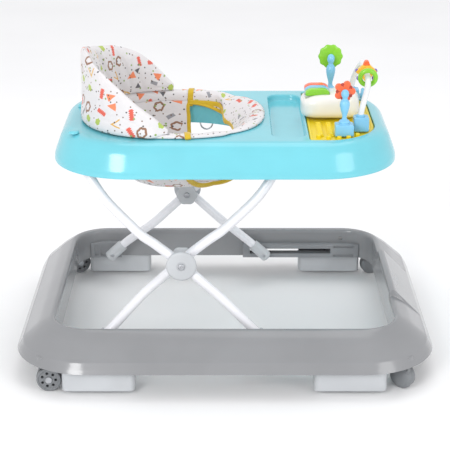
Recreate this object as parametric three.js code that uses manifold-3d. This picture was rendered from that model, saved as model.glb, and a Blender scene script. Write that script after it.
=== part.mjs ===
// Folding baby walker: a ring base on four castors, two crossed tube frames, and a tray
// that carries a sling seat and a board of toys. Millimetres, +Z up, +X towards the toys,
// +Y to the child's left, origin on the floor under the middle of the base.

import * as THREE from 'three';
import { mergeVertices } from 'three/addons/utils/BufferGeometryUtils.js';
import Module from 'manifold-3d';

const wasm = await Module();
wasm.setup();

// ---------------------------------------------------------------- driving dimensions

const BASE_HALF = [352, 302];          // base ring, outside, at its lower edge
const BASE_CORNER = 125;               // plan radius of the base's corners
const BASE_BOTTOM = 45;                // height of the base's lower edge
const BASE_TOP = 100;                  // height of the base's crest
const RAIL_WIDTH = 67;                 // base ring, from outer edge to inner wall

const TRAY_HALF = [290, 195];          // tray, outside, at its lower lip
const TRAY_CORNER = 135;
const TRAY_LIP = 343;                  // height of the tray's lower lip
const TRAY_TOP = 398;                  // height of the tray's flat top
const TRAY_WALL = 2.5;
const SEAT_CENTRE_X = -86;             // middle of the seat opening
const SEAT_HALF = [145, 142];          // seat opening, half sizes
const SEAT_SQUARENESS = 2.3;           // superellipse exponent of the opening
const SEAT_WALL_FOOT = 352;            // lower edge of the opening's wall, behind
const TROUGH = { x0: 78, x1: 134, halfY: 135, depth: 12 };
const BOARD_RECESS = { x0: 139, inset: 37, halfY: 154, depth: 8 };
const APRON = { x0: -190, x1: 70 };    // where the opening's wall reaches the lip's height

const TUBE_RADIUS = 8;
const TUBE_BORE = 6.8;
const HUB = [-72, 195];                // scissor hub, X and Z
const REAR_PIVOT = [-219, 59];         // lower rear pivots of the inner frame
const FRONT_PIN = [75, 59];            // lower front pins of the outer frame
const CROSSBAR_Z = 366;
const INNER_CROSSBAR_X = 106;          // slides forward as the walker folds
const OUTER_CROSSBAR_X = -250;         // turns in the clamp under the tray
const INNER_HUB_Y = 174.5;             // the two tube planes beside each other at the hub
const OUTER_HUB_Y = 192.5;
const FOOT_Y = 207;                    // both frames, at their lower ends
const CROSSBAR_END_Y = 142;            // both frames, where the U bend begins
const BEND_RADIUS = 25;
const SLIDE_SLOT = { x0: 49, x1: 207, z: 59, half: 5 };
const ROLLER = { radius: 4.6, bore: 3.1 };     // bushing on the outer frame's pin, in the slot
const TRACK_SLOT = { x0: 96, x1: 242, half: 8.7 };

const CASTOR_STEM = [301, 260];        // swivel axes, mirrored to the four corners
const CASTOR_TRAIL = 10.5;
const WHEEL_RADIUS = 20.5;
const WHEEL_WIDTH = 11;
const CASTOR_TURN = { rear_r: 0, front_r: 139, rear_l: 24, front_l: 200 };

const STOPPER = { half: [60, 20], y: 265, frontX: 206, rearX: -208, z0: 6, z1: 50 };
const BOARD_TOP = TRAY_TOP - 2;        // upper face of the toy board
const ARCH_RADIUS = 5;

// ---------------------------------------------------------------- materials

function finish(color, roughness, metalness = 0) {
  return new THREE.MeshStandardMaterial({ color, roughness, metalness });
}

const GREY_SHELL = finish(0x9a9b9d, 0.35);
const BLUE_SHELL = finish(0x8ad9e4, 0.3);
const WHITE_PAINT = finish(0xe8e8ec, 0.3);
const WHITE_PLASTIC = finish(0xd6d8da, 0.4);
const DARK_PLASTIC = finish(0x3c3d40, 0.5);
const STEEL = finish(0xb9babd, 0.3, 1);
const CASTOR_GREY = finish(0x77797c, 0.45);
const PRINTED_FABRIC = finish(0xdedbdc, 0.9);
const TOY_YELLOW = finish(0xe6c81e, 0.4);
const TOY_BLUE = finish(0x7fc0e0, 0.35);
const TOY_ORANGE = finish(0xff6b3d, 0.4);
const TOY_GREEN = finish(0x86cc2e, 0.4);
const TOY_WHITE = finish(0xede9e1, 0.35);
const STAR_YELLOW = finish(0xf0b637, 0.4);

// ---------------------------------------------------------------- solids

function orient(positions, triangles) {
  let volume = 0;
  const corner = (i) => new THREE.Vector3().fromArray(positions, 3 * i);
  for (let t = 0; t < triangles.length; t += 3) {
    const [a, b, c] = [corner(triangles[t]), corner(triangles[t + 1]), corner(triangles[t + 2])];
    volume += a.dot(b.cross(c));
  }
  if (volume < 0) {
    for (let t = 0; t < triangles.length; t += 3) {
      [triangles[t + 1], triangles[t + 2]] = [triangles[t + 2], triangles[t + 1]];
    }
  }
}

// A closed three.js geometry as a solid that can be joined and cut.
function solid(geometry) {
  const bare = geometry.clone();
  bare.deleteAttribute('normal');
  bare.deleteAttribute('uv');
  const merged = mergeVertices(bare, 1e-3);
  const index = merged.index.array;
  const triangles = [];
  for (let t = 0; t < index.length; t += 3) {
    const [a, b, c] = [index[t], index[t + 1], index[t + 2]];
    if (a !== b && b !== c && c !== a) triangles.push(a, b, c);
  }
  const positions = Float32Array.from(merged.attributes.position.array);
  orient(positions, triangles);
  return new wasm.Manifold(new wasm.Mesh({
    numProp: 3, vertProperties: positions, triVerts: Uint32Array.from(triangles),
  }));
}

function join(first, ...others) {
  return others.reduce((whole, piece) => whole.add(piece), first);
}

function cut(first, ...others) {
  return others.reduce((whole, piece) => whole.subtract(piece), first);
}

function geometryOf(piece) {
  const mesh = piece.getMesh();
  const geometry = new THREE.BufferGeometry();
  geometry.setAttribute('position', new THREE.BufferAttribute(Float32Array.from(mesh.vertProperties), 3));
  geometry.setIndex(new THREE.BufferAttribute(Uint32Array.from(mesh.triVerts), 1));
  geometry.computeVertexNormals();
  return geometry;
}

function place(geometry, x = 0, y = 0, z = 0, turnX = 0, turnY = 0, turnZ = 0) {
  geometry.rotateX(turnX);
  geometry.rotateY(turnY);
  geometry.rotateZ(turnZ);
  geometry.translate(x, y, z);
  return geometry;
}

function box(x0, x1, y0, y1, z0, z1) {
  const geometry = new THREE.BoxGeometry(x1 - x0, y1 - y0, z1 - z0);
  return solid(geometry.translate((x0 + x1) / 2, (y0 + y1) / 2, (z0 + z1) / 2));
}

// A turned piece: profile points are [radius, height] and start and end on the axis, +Z.
function turned(profile, sides = 24) {
  const points = profile.map(([radius, height]) => new THREE.Vector2(radius, height));
  return new THREE.LatheGeometry(points, sides).rotateX(Math.PI / 2);
}

function rod(radius, z0, z1, sides = 20) {
  return turned([[0, z0], [radius, z0], [radius, z1], [0, z1]], sides);
}

// A rod along Y, centred on (x, z).
function crossRod(radius, x, z, y0, y1, sides = 20) {
  return solid(place(rod(radius, -y1, -y0, sides), x, 0, z, Math.PI / 2));
}

function circlePoints(radius, sides) {
  return Array.from({ length: sides }, (_, k) => {
    const angle = 2 * Math.PI * k / sides;
    return new THREE.Vector2(radius * Math.cos(angle), radius * Math.sin(angle));
  });
}

// An outline of [x, y] points, raised from z0 to z1.
function plate(outline, z0, z1, bevel = 0) {
  const shape = new THREE.Shape(outline.map(([x, y]) => new THREE.Vector2(x, y)));
  const settings = { depth: z1 - z0 - 2 * bevel, bevelEnabled: bevel > 0, bevelSize: bevel };
  Object.assign(settings, { bevelThickness: bevel, bevelSegments: 2, bevelOffset: -bevel });
  return new THREE.ExtrudeGeometry(shape, settings).translate(0, 0, z0 + bevel);
}

// An outline of [x, z] points, carried along Y from y0 to y1.
function panel(outline, y0, y1) {
  return place(plate(outline, 0, y1 - y0), 0, y1, 0, Math.PI / 2);
}

function roundedRectangle(halfX, halfY, radius, steps = 6, centreX = 0) {
  const points = [];
  for (const [sx, sy, start] of [[1, 1, 0], [-1, 1, 90], [-1, -1, 180], [1, -1, 270]]) {
    for (let k = 0; k <= steps; k++) {
      const angle = THREE.MathUtils.degToRad(start + 90 * k / steps);
      const x = centreX + sx * (halfX - radius) + radius * Math.cos(angle);
      points.push([x, sy * (halfY - radius) + radius * Math.sin(angle)]);
    }
  }
  return points;
}

function superellipse(halfX, halfY, exponent, steps, centreX = 0) {
  const points = [];
  for (let k = 0; k < steps; k++) {
    const angle = 2 * Math.PI * k / steps;
    const [c, s] = [Math.cos(angle), Math.sin(angle)];
    const x = Math.sign(c) * Math.abs(c) ** (2 / exponent);
    points.push([centreX + halfX * x, halfY * Math.sign(s) * Math.abs(s) ** (2 / exponent)]);
  }
  return points;
}

// A closed body through stacked outlines; each ring is { z, outline } with equal point counts.
function loft(rings) {
  const count = rings[0].outline.length;
  const positions = [];
  const index = [];
  for (const { z, outline } of rings) {
    for (const [x, y] of outline) positions.push(x, y, z);
  }
  for (let r = 0; r + 1 < rings.length; r++) {
    for (let k = 0; k < count; k++) {
      const [a, b] = [r * count + k, r * count + (k + 1) % count];
      index.push(a, b, b + count, a, b + count, a + count);
    }
  }
  for (const [ring, flip] of [[0, true], [rings.length - 1, false]]) {
    const middle = positions.length / 3;
    const { z, outline } = rings[ring];
    const sum = outline.reduce(([x, y], point) => [x + point[0], y + point[1]], [0, 0]);
    positions.push(sum[0] / count, sum[1] / count, z);
    for (let k = 0; k < count; k++) {
      const [a, b] = [ring * count + k, ring * count + (k + 1) % count];
      index.push(middle, flip ? b : a, flip ? a : b);
    }
  }
  const geometry = new THREE.BufferGeometry();
  geometry.setAttribute('position', new THREE.Float32BufferAttribute(positions, 3));
  geometry.setIndex(index);
  return solid(geometry);
}

// Rounded rectangles stepped in from an outer outline by each profile point's inset.
function rings(half, corner, profile, steps) {
  return profile.map(([inset, z]) => {
    const outline = roundedRectangle(half[0] - inset, half[1] - inset, corner - inset, steps);
    return { z, outline };
  });
}

// ---------------------------------------------------------------- assembly helpers

const walker = new THREE.Group();

function addPart(name, shape, material, parent = walker) {
  const geometry = shape.isBufferGeometry ? geometryOf(solid(shape)) : geometryOf(shape);
  const mesh = new THREE.Mesh(geometry, material);
  mesh.name = name;
  parent.add(mesh);
  return mesh;
}

// The two sides of the walker: r is the child's right, -Y, and l is the child's left, +Y.
const SIDES = [['r', -1], ['l', 1]];

// ---------------------------------------------------------------- base

const BASE_OUTSIDE = [[0, BASE_BOTTOM], [3, 50], [10, 62], [40, 88], [54, 97], [60, BASE_TOP],
  [65, 98], [RAIL_WIDTH, 92], [RAIL_WIDTH, BASE_BOTTOM]];
const BASE_INSIDE = [[3, BASE_BOTTOM], [13, 60.5], [42, 85.5], [55, 94], [60, 96.5],
  [RAIL_WIDTH - 3, 91], [RAIL_WIDTH - 3, BASE_BOTTOM]];
const CORNER_STEPS = 7;

function baseShell() {
  const half = BASE_HALF;
  const outer = loft(rings(half, BASE_CORNER, BASE_OUTSIDE.slice(0, 6), CORNER_STEPS));
  const inner = loft(rings(half, BASE_CORNER, BASE_INSIDE.slice(0, 5), CORNER_STEPS));
  const wellOuter = loft(rings(half, BASE_CORNER,
    [[64, BASE_BOTTOM - 1], [64, 91], [60, 96.5], [60, BASE_TOP + 20]], CORNER_STEPS));
  const well = loft(rings(half, BASE_CORNER,
    [[RAIL_WIDTH, BASE_BOTTOM - 2], [RAIL_WIDTH, 92], [65, 98], [60, BASE_TOP], [60, BASE_TOP + 20]],
    CORNER_STEPS));
  const hollow = cut(inner.translate([0, 0, -0.01]), wellOuter);
  let shell = cut(outer, hollow, well);

  // a raised panel across the front rail
  const crest = BASE_HALF[0] - RAIL_WIDTH + 1.5;
  const frontPanel = [[crest, 90], [crest, 108], [296, 108.5], [338, 66], [337, 64.6],
    [311, 87], [297.5, 95.8], [291.5, 98.5], [287.8, 96.5]];
  shell = shell.add(solid(panel(frontPanel, -100, 100)));

  // a socket for each castor stem, and a window behind each slide slot
  for (const sx of [-1, 1]) {
    for (const sy of [-1, 1]) {
      const [x, y] = [sx * CASTOR_STEM[0], sy * CASTOR_STEM[1]];
      const boss = solid(place(rod(9, 47, 63), x, y)).intersect(outer);
      const bore = solid(place(rod(5.3, 40, 55.5), x, y));
      shell = cut(shell.add(boss), bore);
    }
  }
  for (const [, side] of SIDES) {
    const [y0, y1] = side > 0 ? [232, 240] : [-240, -232];
    const { x0, x1, z, half: height } = SLIDE_SLOT;
    shell = cut(shell, box(x0, x1, y0, y1, z - height, z + height));
  }
  return shell;
}

addPart('base_shell', baseShell(), GREY_SHELL);

const RAIL_INSIDE_Y = BASE_HALF[1] - RAIL_WIDTH - 0.3;   // back faces of rails and brackets
const RAIL_FACE_Y = 220.5;                               // faces towards the frames

const insideWall = [30, 95].map((z) => [RAIL_WIDTH + 0.3, z]);
const wellSlab = loft(rings(BASE_HALF, BASE_CORNER, insideWall, CORNER_STEPS));

for (const [tag, side] of SIDES) {
  const [y0, y1] = side > 0 ? [RAIL_FACE_Y, RAIL_INSIDE_Y] : [-RAIL_INSIDE_Y, -RAIL_FACE_Y];

  // slide rail: a slotted bar with a stiffening rib above and below the slot
  const { x0, x1, z, half: height } = SLIDE_SLOT;
  const body = box(x0 - 14, x1 + 55, y0, y1, z - 13, z + 13).intersect(wellSlab);
  const groove = side > 0 ? [y0 - 1, y0 + 2.5] : [y1 - 2.5, y1 + 1];
  const slot = box(x0, x1, y0 - 1, y1 + 1, z - height, z + height);
  const ribs = [z - 11, z + 7].map((low) => box(x1 + 6, x1 + 45, ...groove, low, low + 4));
  addPart(`slide_rail_${tag}`, cut(body, slot, ...ribs), CASTOR_GREY);

  // pivot bracket with the hole that the inner frame's foot turns in
  const bracket = box(-263, -203, y0, y1, z - 13, z + 17).intersect(wellSlab);
  const hole = crossRod(4.3, ...REAR_PIVOT, y0 - 1, y1 + 1);
  const webs = [-256, -244].map((left) => box(left, left + 8, ...groove, z - 9, z + 13));
  addPart(`pivot_bracket_${tag}`, cut(bracket, hole, ...webs), CASTOR_GREY);

  // latch pawl behind the slot
  const pawl = side > 0 ? [239, 246] : [-246, -239];
  addPart(`fold_catch_${tag}`, box(146, 198, ...pawl, z - 7, z + 9), DARK_PLASTIC);

  for (const [end, x] of [['front', STOPPER.frontX], ['rear', STOPPER.rearX]]) {
    const block = plate(roundedRectangle(...STOPPER.half, 9, 3), STOPPER.z0, STOPPER.z1, 1.5);
    addPart(`stopper_${end}_${tag}`, block.translate(x, side * STOPPER.y, 0), WHITE_PLASTIC);
  }
}

// ---------------------------------------------------------------- castors

// Swivel axis at the origin, the wheel trailing towards +X with its open side towards -Y.
function castorHood() {
  const [x, z] = [CASTOR_TRAIL, WHEEL_RADIUS];
  const dome = [[0, 9.6], [12, 9], [19, 6.5], [21.6, 3], [21.6, 0.5], [0, 0.5]];
  const disc = solid(place(turned(dome, 20), x, 0, z, -Math.PI / 2));
  const arch = cut(crossRod(22, x, z, -WHEEL_WIDTH, 2, 20), crossRod(21.1, x, z, -13, 0.5, 20));
  const archTop = arch.intersect(box(x - 21, x + 17, -13, 3, z + 9, z + 24));
  const neck = box(-7, 6, 0.6, 7, 30, 45.5);
  const stem = solid(rod(5, 41.6, 54.5, 12));
  const collar = solid(rod(7, 41.6, 45.8, 12));
  const aboveFloor = box(-40, 60, -40, 40, 3, 80);
  const axleHole = crossRod(2.6, x, z, -1, 6, 8);
  return cut(join(disc.intersect(aboveFloor), archTop, neck, collar, stem), axleHole);
}

// Centred on its own axle, which runs along Y.
function castorWheel() {
  const half = WHEEL_WIDTH / 2;
  const r = WHEEL_RADIUS;
  const tyre = [[2.6, -half], [r - 2.5, -half], [r, -half + 2.5], [r, half - 2.5], [r - 2.5, half],
    [2.6, half], [2.6, -half]];
  let wheel = solid(place(turned(tyre, 22), 0, 0, 0, Math.PI / 2));
  for (let k = 0; k < 7; k++) {
    const angle = 2 * Math.PI * k / 7;
    const [x, z] = [11.5 * Math.cos(angle), 11.5 * Math.sin(angle)];
    wheel = cut(wheel, crossRod(2.4, x, z, -half - 1, half + 1, 5));
  }
  return wheel;
}

const hoodShape = castorHood();
const wheelShape = castorWheel();

for (const [tag, side] of SIDES) {
  for (const [end, sx] of [['front', 1], ['rear', -1]]) {
    const castor = new THREE.Group();
    castor.position.set(sx * CASTOR_STEM[0], side * CASTOR_STEM[1], 0);
    castor.rotation.z = THREE.MathUtils.degToRad(CASTOR_TURN[`${end}_${tag}`]);
    walker.add(castor);
    addPart(`castor_hood_${end}_${tag}`, hoodShape, CASTOR_GREY, castor);
    const wheel = addPart(`castor_wheel_${end}_${tag}`, wheelShape, CASTOR_GREY, castor);
    wheel.position.set(CASTOR_TRAIL, -WHEEL_WIDTH / 2, WHEEL_RADIUS);
    const cap = [[0, 0], [5.5, 0], [5.5, 0.9], [2.2, 0.9], [2.2, WHEEL_WIDTH + 6], [0, WHEEL_WIDTH + 6]];
    const axle = place(turned(cap, 14), 0, 0, 0, -Math.PI / 2);
    const axleMesh = addPart(`castor_axle_${end}_${tag}`, axle, STEEL, castor);
    axleMesh.position.set(CASTOR_TRAIL, -WHEEL_WIDTH - 1.2, WHEEL_RADIUS);
  }
}

// ---------------------------------------------------------------- crossed frames

// A leg's centreline from its foot past the hub to the crossbar's corner, as [x, y, z] with
// positive y. The foot end and the stretch beside the hub run parallel to the XZ plane.
function legPoints(foot, hubY, crossbarX) {
  const towards = Math.sign(HUB[0] - foot[0]);
  const length = Math.hypot(HUB[0] - foot[0], HUB[1] - foot[1]);
  const along = (s, y) => {
    const t = s / length;
    return [foot[0] + t * (HUB[0] - foot[0]), y, foot[1] + t * (HUB[1] - foot[1])];
  };
  const above = (dx, dz, y) => [HUB[0] + towards * dx, y, HUB[1] + dz];
  const reach = Math.abs(crossbarX - HUB[0]);
  const lean = (t) => hubY + (CROSSBAR_END_Y - hubY) * t;
  return [along(9, FOOT_Y), along(22, FOOT_Y), along(36, FOOT_Y), along(114, hubY),
    along(150, hubY), [HUB[0], hubY, HUB[1]], above(45, 36.5, hubY), above(64, 50, hubY),
    above(81, 63.5, lean(0.16)), above(127, 106, lean(0.56)), above(154, 143, lean(0.85)),
    above(reach - 9, 162, lean(0.99) - 3)];
}

function frameTube(foot, hubY, crossbarX) {
  const leg = legPoints(foot, hubY, crossbarX);
  const inward = CROSSBAR_END_Y - BEND_RADIUS;
  const corner = [crossbarX - Math.sign(crossbarX - HUB[0]) * 2, inward + 11, CROSSBAR_Z - 2];
  const half = [...leg, corner, [crossbarX, inward, CROSSBAR_Z], [crossbarX, inward - 20, CROSSBAR_Z]];
  const mirrored = half.map(([x, y, z]) => [x, -y, z]).reverse();
  const points = [...half, ...mirrored].map((point) => new THREE.Vector3(...point));
  const path = new THREE.CatmullRomCurve3(points, false, 'centripetal');
  path.arcLengthDivisions = 800;
  const section = new THREE.Shape(circlePoints(TUBE_RADIUS, 10));
  section.holes.push(new THREE.Path(circlePoints(TUBE_BORE, 6)));
  const tube = new THREE.ExtrudeGeometry(section, { extrudePath: path, steps: 74 });
  const bolts = SIDES.map(([, side]) => {
    const [y0, y1] = side > 0 ? [hubY - 12, hubY + 12] : [-hubY - 12, -hubY + 12];
    return crossRod(3.3, ...HUB, y0, y1, 12);
  });
  return cut(solid(tube), ...bolts);
}

addPart('inner_frame_tube', frameTube(REAR_PIVOT, INNER_HUB_Y, INNER_CROSSBAR_X), WHITE_PAINT);
addPart('outer_frame_tube', frameTube(FRONT_PIN, OUTER_HUB_Y, OUTER_CROSSBAR_X), WHITE_PAINT);

// A moulded foot: a sleeve on the tube's end and a pin outwards along Y.
function frameFoot(foot, side, pinRadius, pinEnd) {
  const angle = Math.atan2(HUB[1] - foot[1], HUB[0] - foot[0]);
  const sleeve = rod(11, -12, 28, 16);
  const bore = rod(8.6, 8.2, 30, 16);
  const turn = Math.PI / 2 - angle;
  const lie = (shape) => solid(place(shape, foot[0], side * FOOT_Y, foot[1], 0, turn));
  const [y0, y1] = side > 0 ? [FOOT_Y, pinEnd] : [-pinEnd, -FOOT_Y];
  return cut(join(lie(sleeve), crossRod(pinRadius, ...foot, y0, y1)), lie(bore));
}

for (const [tag, side] of SIDES) {
  addPart(`inner_frame_foot_${tag}`, frameFoot(REAR_PIVOT, side, 4, 234), WHITE_PLASTIC);
  addPart(`outer_frame_foot_${tag}`, frameFoot(FRONT_PIN, side, 2.8, 233), WHITE_PLASTIC);

  // slider bushing: rolls along the slot on the outer frame's pin
  const [y0, y1] = side > 0 ? [221, 233.5] : [-233.5, -221];
  const bushing = crossRod(ROLLER.radius, ...FRONT_PIN, y0, y1);
  const bushingBore = crossRod(ROLLER.bore, ...FRONT_PIN, y0 - 1, y1 + 1);
  addPart(`slider_bushing_${tag}`, cut(bushing, bushingBore), DARK_PLASTIC);

  // hub covers either side of the two tubes, and the bolt through all of it
  const outerCover = turned([[3.3, 0], [25.5, 0], [25.5, 2.5], [23, 4.5], [3.3, 5], [3.3, 0]], 24);
  const innerCover = turned([[3.3, 0], [20, 0], [20, 3], [18, 4.5], [3.3, 4.5], [3.3, 0]], 20);
  const bolt = turned([[0, -2.6], [5.5, -2.6], [5.5, 0], [3, 0], [3, 45.6], [5.5, 45.6], [5.5, 48.2],
    [0, 48.2]], 12);
  const outwards = side > 0 ? -Math.PI / 2 : Math.PI / 2;
  const atHub = (geometry, y, turn) => place(geometry, HUB[0], side * y, HUB[1], turn);
  const tubeFace = OUTER_HUB_Y + TUBE_RADIUS + 0.4;
  const innerFace = INNER_HUB_Y - TUBE_RADIUS - 0.4;
  addPart(`hub_outer_cover_${tag}`, atHub(outerCover, tubeFace, outwards), WHITE_PLASTIC);
  addPart(`hub_inner_cover_${tag}`, atHub(innerCover, innerFace, -outwards), WHITE_PLASTIC);
  addPart(`hub_bolt_${tag}`, atHub(bolt, innerFace - 4.8, outwards), STEEL);
}

// ---------------------------------------------------------------- tray

// the tray's rounded edge, as distance in from the outline and height
const TRAY_OUTSIDE = [[0, TRAY_LIP], [0.5, 352], [3.5, 361], [12, 384], [18, 392], [25, 396.5],
  [33, TRAY_TOP]];
const TRAY_INSIDE = [[2.5, TRAY_LIP - 1], [3, 352], [6, 361], [14.5, 383], [20.5, 390.5],
  [33, TRAY_TOP - TRAY_WALL]];

function boardOutline(gap) {
  const { x0, inset, halfY } = BOARD_RECESS;
  const trimmed = solid(plate(roundedRectangle(TRAY_HALF[0] - inset - gap, TRAY_HALF[1] - inset - gap,
    TRAY_CORNER - inset - gap, 8), 0, 100));
  return trimmed.intersect(box(x0 + gap, 300, -halfY + gap, halfY - gap, -1, 101));
}

function boardSlab(gap, z0, z1) {
  return boardOutline(gap).scale([1, 1, (z1 - z0) / 100]).translate([0, 0, z0]);
}

function troughSlab(grow, z0, z1) {
  const { x0, x1, halfY } = TROUGH;
  const halfX = (x1 - x0) / 2 + grow;
  return solid(plate(roundedRectangle(halfX, halfY + grow, 18 + grow, 4, (x0 + x1) / 2), z0, z1));
}

function seatOutline(grow, steps = 40) {
  return superellipse(SEAT_HALF[0] + grow, SEAT_HALF[1] + grow, SEAT_SQUARENESS, steps, SEAT_CENTRE_X);
}

function trayShell() {
  const outer = loft(rings(TRAY_HALF, TRAY_CORNER, TRAY_OUTSIDE, 7));
  const inner = loft(rings(TRAY_HALF, TRAY_CORNER, TRAY_INSIDE, 7));
  const troughFloor = TRAY_TOP - TROUGH.depth;
  const boardFloor = TRAY_TOP - BOARD_RECESS.depth;
  const seatWall = solid(plate(seatOutline(TRAY_WALL), SEAT_WALL_FOOT, TRAY_TOP - 1));
  const apron = solid(plate(seatOutline(TRAY_WALL), TRAY_LIP + 1, SEAT_WALL_FOOT + 1)).intersect(
    box(APRON.x0, APRON.x1, -TRAY_HALF[1], TRAY_HALF[1], 300, 400));
  const pans = [troughSlab(TRAY_WALL, troughFloor - TRAY_WALL, TRAY_TOP - 1),
    boardSlab(-TRAY_WALL, boardFloor - TRAY_WALL, TRAY_TOP - 1)];
  const shell = join(cut(outer, inner), seatWall, apron, ...pans);
  const opening = solid(plate(seatOutline(0), 300, TRAY_TOP + 20));
  return cut(shell, opening, troughSlab(0, troughFloor, TRAY_TOP + 20),
    boardSlab(0, boardFloor, TRAY_TOP + 20));
}

addPart('tray_shell', trayShell(), BLUE_SHELL);

// the cradle under the tray's rear edge that the outer frame's crossbar turns in
const cradle = box(OUTER_CROSSBAR_X - 13, OUTER_CROSSBAR_X + 12.5, -34, 34, 353, 384);
const cradleBore = crossRod(TUBE_RADIUS + 0.6, OUTER_CROSSBAR_X, CROSSBAR_Z, -40, 40);
const cradleTop = box(OUTER_CROSSBAR_X - 5, OUTER_CROSSBAR_X + 12.5, -34, 34, 383, 395.1);
addPart('rear_crossbar_clamp', cut(cradle.add(cradleTop), cradleBore), DARK_PLASTIC);

for (const [tag, side] of SIDES) {
  // a guide under the tray that the inner frame's crossbar slides along
  const [y0, y1] = side > 0 ? [68, 80] : [-80, -68];
  const { x0, x1, half } = TRACK_SLOT;
  const guide = box(x0 - 6, x1 + 5, y0, y1, CROSSBAR_Z - half - 5, 383);
  const run = box(x0 + half, x1 - half, y0 - 1, y1 + 1, CROSSBAR_Z - half, CROSSBAR_Z + half);
  const ends = [x0 + half, x1 - half].map((x) => crossRod(half, x, CROSSBAR_Z, y0 - 1, y1 + 1));
  addPart(`front_track_${tag}`, cut(guide, run, ...ends), WHITE_PLASTIC);

  // round fastener caps on the tray's rear corners
  const cap = turned([[0, 0], [9, 0], [8.6, 3.6], [7, 5], [0, 5]], 20);
  addPart(`tray_cap_${tag}`, place(cap, -251, side * 84 - 31, TRAY_TOP + 0.3), BLUE_SHELL);
}

// ---------------------------------------------------------------- seat

const RIM_TOP = TRAY_TOP + 7;
const rimPad = cut(solid(plate(seatOutline(8), TRAY_TOP + 0.4, RIM_TOP)),
  solid(plate(seatOutline(-8), TRAY_TOP - 5, RIM_TOP + 5)));
addPart('seat_rim_pad', rimPad, PRINTED_FABRIC);

// padded backrest: wraps the rear half of the rim, tall behind and sweeping down at the wings
const wings = [[-260, RIM_TOP + 0.4], [-92, RIM_TOP + 0.4], [-103, 422], [-118, 441], [-145, 463],
  [-172, 484], [-205, 507], [-222, 518], [-236, 520], [-260, 517]];
const wrap = cut(solid(plate(seatOutline(7), TRAY_TOP + 5, 540)),
  solid(plate(seatOutline(-8), TRAY_TOP, 550)));
addPart('seat_backrest', wrap.intersect(solid(panel(wings, -200, 200))), PRINTED_FABRIC);

// sling: a cloth bucket hung from the rim, with a wide leg opening either side of a narrow strip
const SLING_TOP = 390;
const SLING_BOTTOM = 280;
const SLING_RINGS = [
  { grow: -5, narrow: 0, x: -86, z: SLING_TOP },
  { grow: -3, narrow: 0, x: -86, z: 362 },
  { grow: -25, narrow: 5, x: -84, z: 328 },
  { grow: -51, narrow: 12, x: -81, z: 288 },
  { grow: -62, narrow: 22, x: -81, z: SLING_BOTTOM },
];

function slingLayer(inset) {
  return loft(SLING_RINGS.map(({ grow, narrow, x, z }) => {
    const halfX = SEAT_HALF[0] + grow - inset;
    const halfY = SEAT_HALF[1] + grow - narrow - inset;
    const lift = z === SLING_BOTTOM ? inset : 0;
    const raise = z === SLING_TOP && inset > 0 ? 5 : 0;
    return { z: z + lift + raise, outline: superellipse(halfX, halfY, SEAT_SQUARENESS, 28, x) };
  }));
}
const LEG_OPENING = [[-66, 384], [-66, 332], [-59, 304], [-42, 287], [-16, 284], [70, 284], [70, 348],
  [24, 352], [22, 380], [-20, 387]];
const legOpenings = SIDES.map(([, side]) => (side > 0
  ? solid(panel(LEG_OPENING, 34, 170)) : solid(panel(LEG_OPENING, -170, -34))));
addPart('seat_sling', cut(slingLayer(0), slingLayer(4), ...legOpenings), PRINTED_FABRIC);

// wire hook for the sling's strap, under the tray on the left
const HOOK = { x: -34, y: 148.2, z: 338, wire: 1.5 };
const hookPoints = [[-12, 18], [-12, 6], [-8.5, -5], [0, -9], [8.5, -5], [12, 6], [12, 18]];
const hookArc = new THREE.CatmullRomCurve3(
  hookPoints.map(([x, z]) => new THREE.Vector3(HOOK.x + x, HOOK.y, HOOK.z + z)));
const wire = new THREE.Shape(circlePoints(HOOK.wire, 6));
const hookShape = new THREE.ExtrudeGeometry(wire, { extrudePath: hookArc, steps: 14 });
addPart('seat_hook_ring', hookShape, STEEL);

// ---------------------------------------------------------------- toys

const boardBase = TRAY_TOP - BOARD_RECESS.depth + 0.3;
let board = boardSlab(1, boardBase, BOARD_TOP);
const BARS = [158.5, 175.5];               // two ribbed bars, from the sounding box to the near edge
for (const x of BARS) {
  board = board.add(box(x - 4.5, x + 4.5, -124, -46, BOARD_TOP - 1, BOARD_TOP + 2.4));
}
const PEGS = [[154.7, -131], [170.6, -138], [187.7, -140.5], [203.5, -138], [219, -122.5]];
for (const [x, y] of PEGS) {
  board = board.add(solid(place(rod(4, BOARD_TOP - 1, BOARD_TOP + 4.5, 10), x, y)));
}
addPart('toy_board', board, TOY_YELLOW);

// sounding box: a rounded boat-shaped body with a sloping keybed on its rear half
const PIANO = { x0: 130, x1: 232, halfY: 38, z0: BOARD_TOP + 0.4, z1: 443 };
const hullShape = [[142, PIANO.z0], [140.5, 399], [133, 407], [PIANO.x0, 420], [132, 431], [138, 438],
  [150, PIANO.z1], [190, PIANO.z1], [196, PIANO.z1 + 6], [216, PIANO.z1 + 5], [228, 437], [PIANO.x1, 420],
  [228, 405], [220, PIANO.z0]];
const KEYBED = { x0: 137, x1: 180, z: 432 };
const KEY_HALF = 7.4;
const KEYS = [['orange', 21, TOY_ORANGE], ['blue', 3, TOY_BLUE], ['green', -15, TOY_GREEN]];
let piano = solid(panel(hullShape, -PIANO.halfY, PIANO.halfY));
for (const [, y] of KEYS) {
  const half = KEY_HALF + 0.6;
  piano = cut(piano, box(KEYBED.x0, KEYBED.x1, y - half, y + half, KEYBED.z, PIANO.z1 + 20));
}
addPart('toy_piano_body', piano, TOY_WHITE);
const keyShape = [[0.6, 4.5], [0.6, 12], [7, 15], [11, 16.5], [33, 16.5], [37, 15], [42.4, 12], [42.4, 4.5]];
for (const [colour, y, material] of KEYS) {
  const outline = keyShape.map(([x, z]) => [KEYBED.x0 + x, KEYBED.z + z]);
  addPart(`toy_key_${colour}`, panel(outline, y - KEY_HALF, y + KEY_HALF), material);
}

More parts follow.
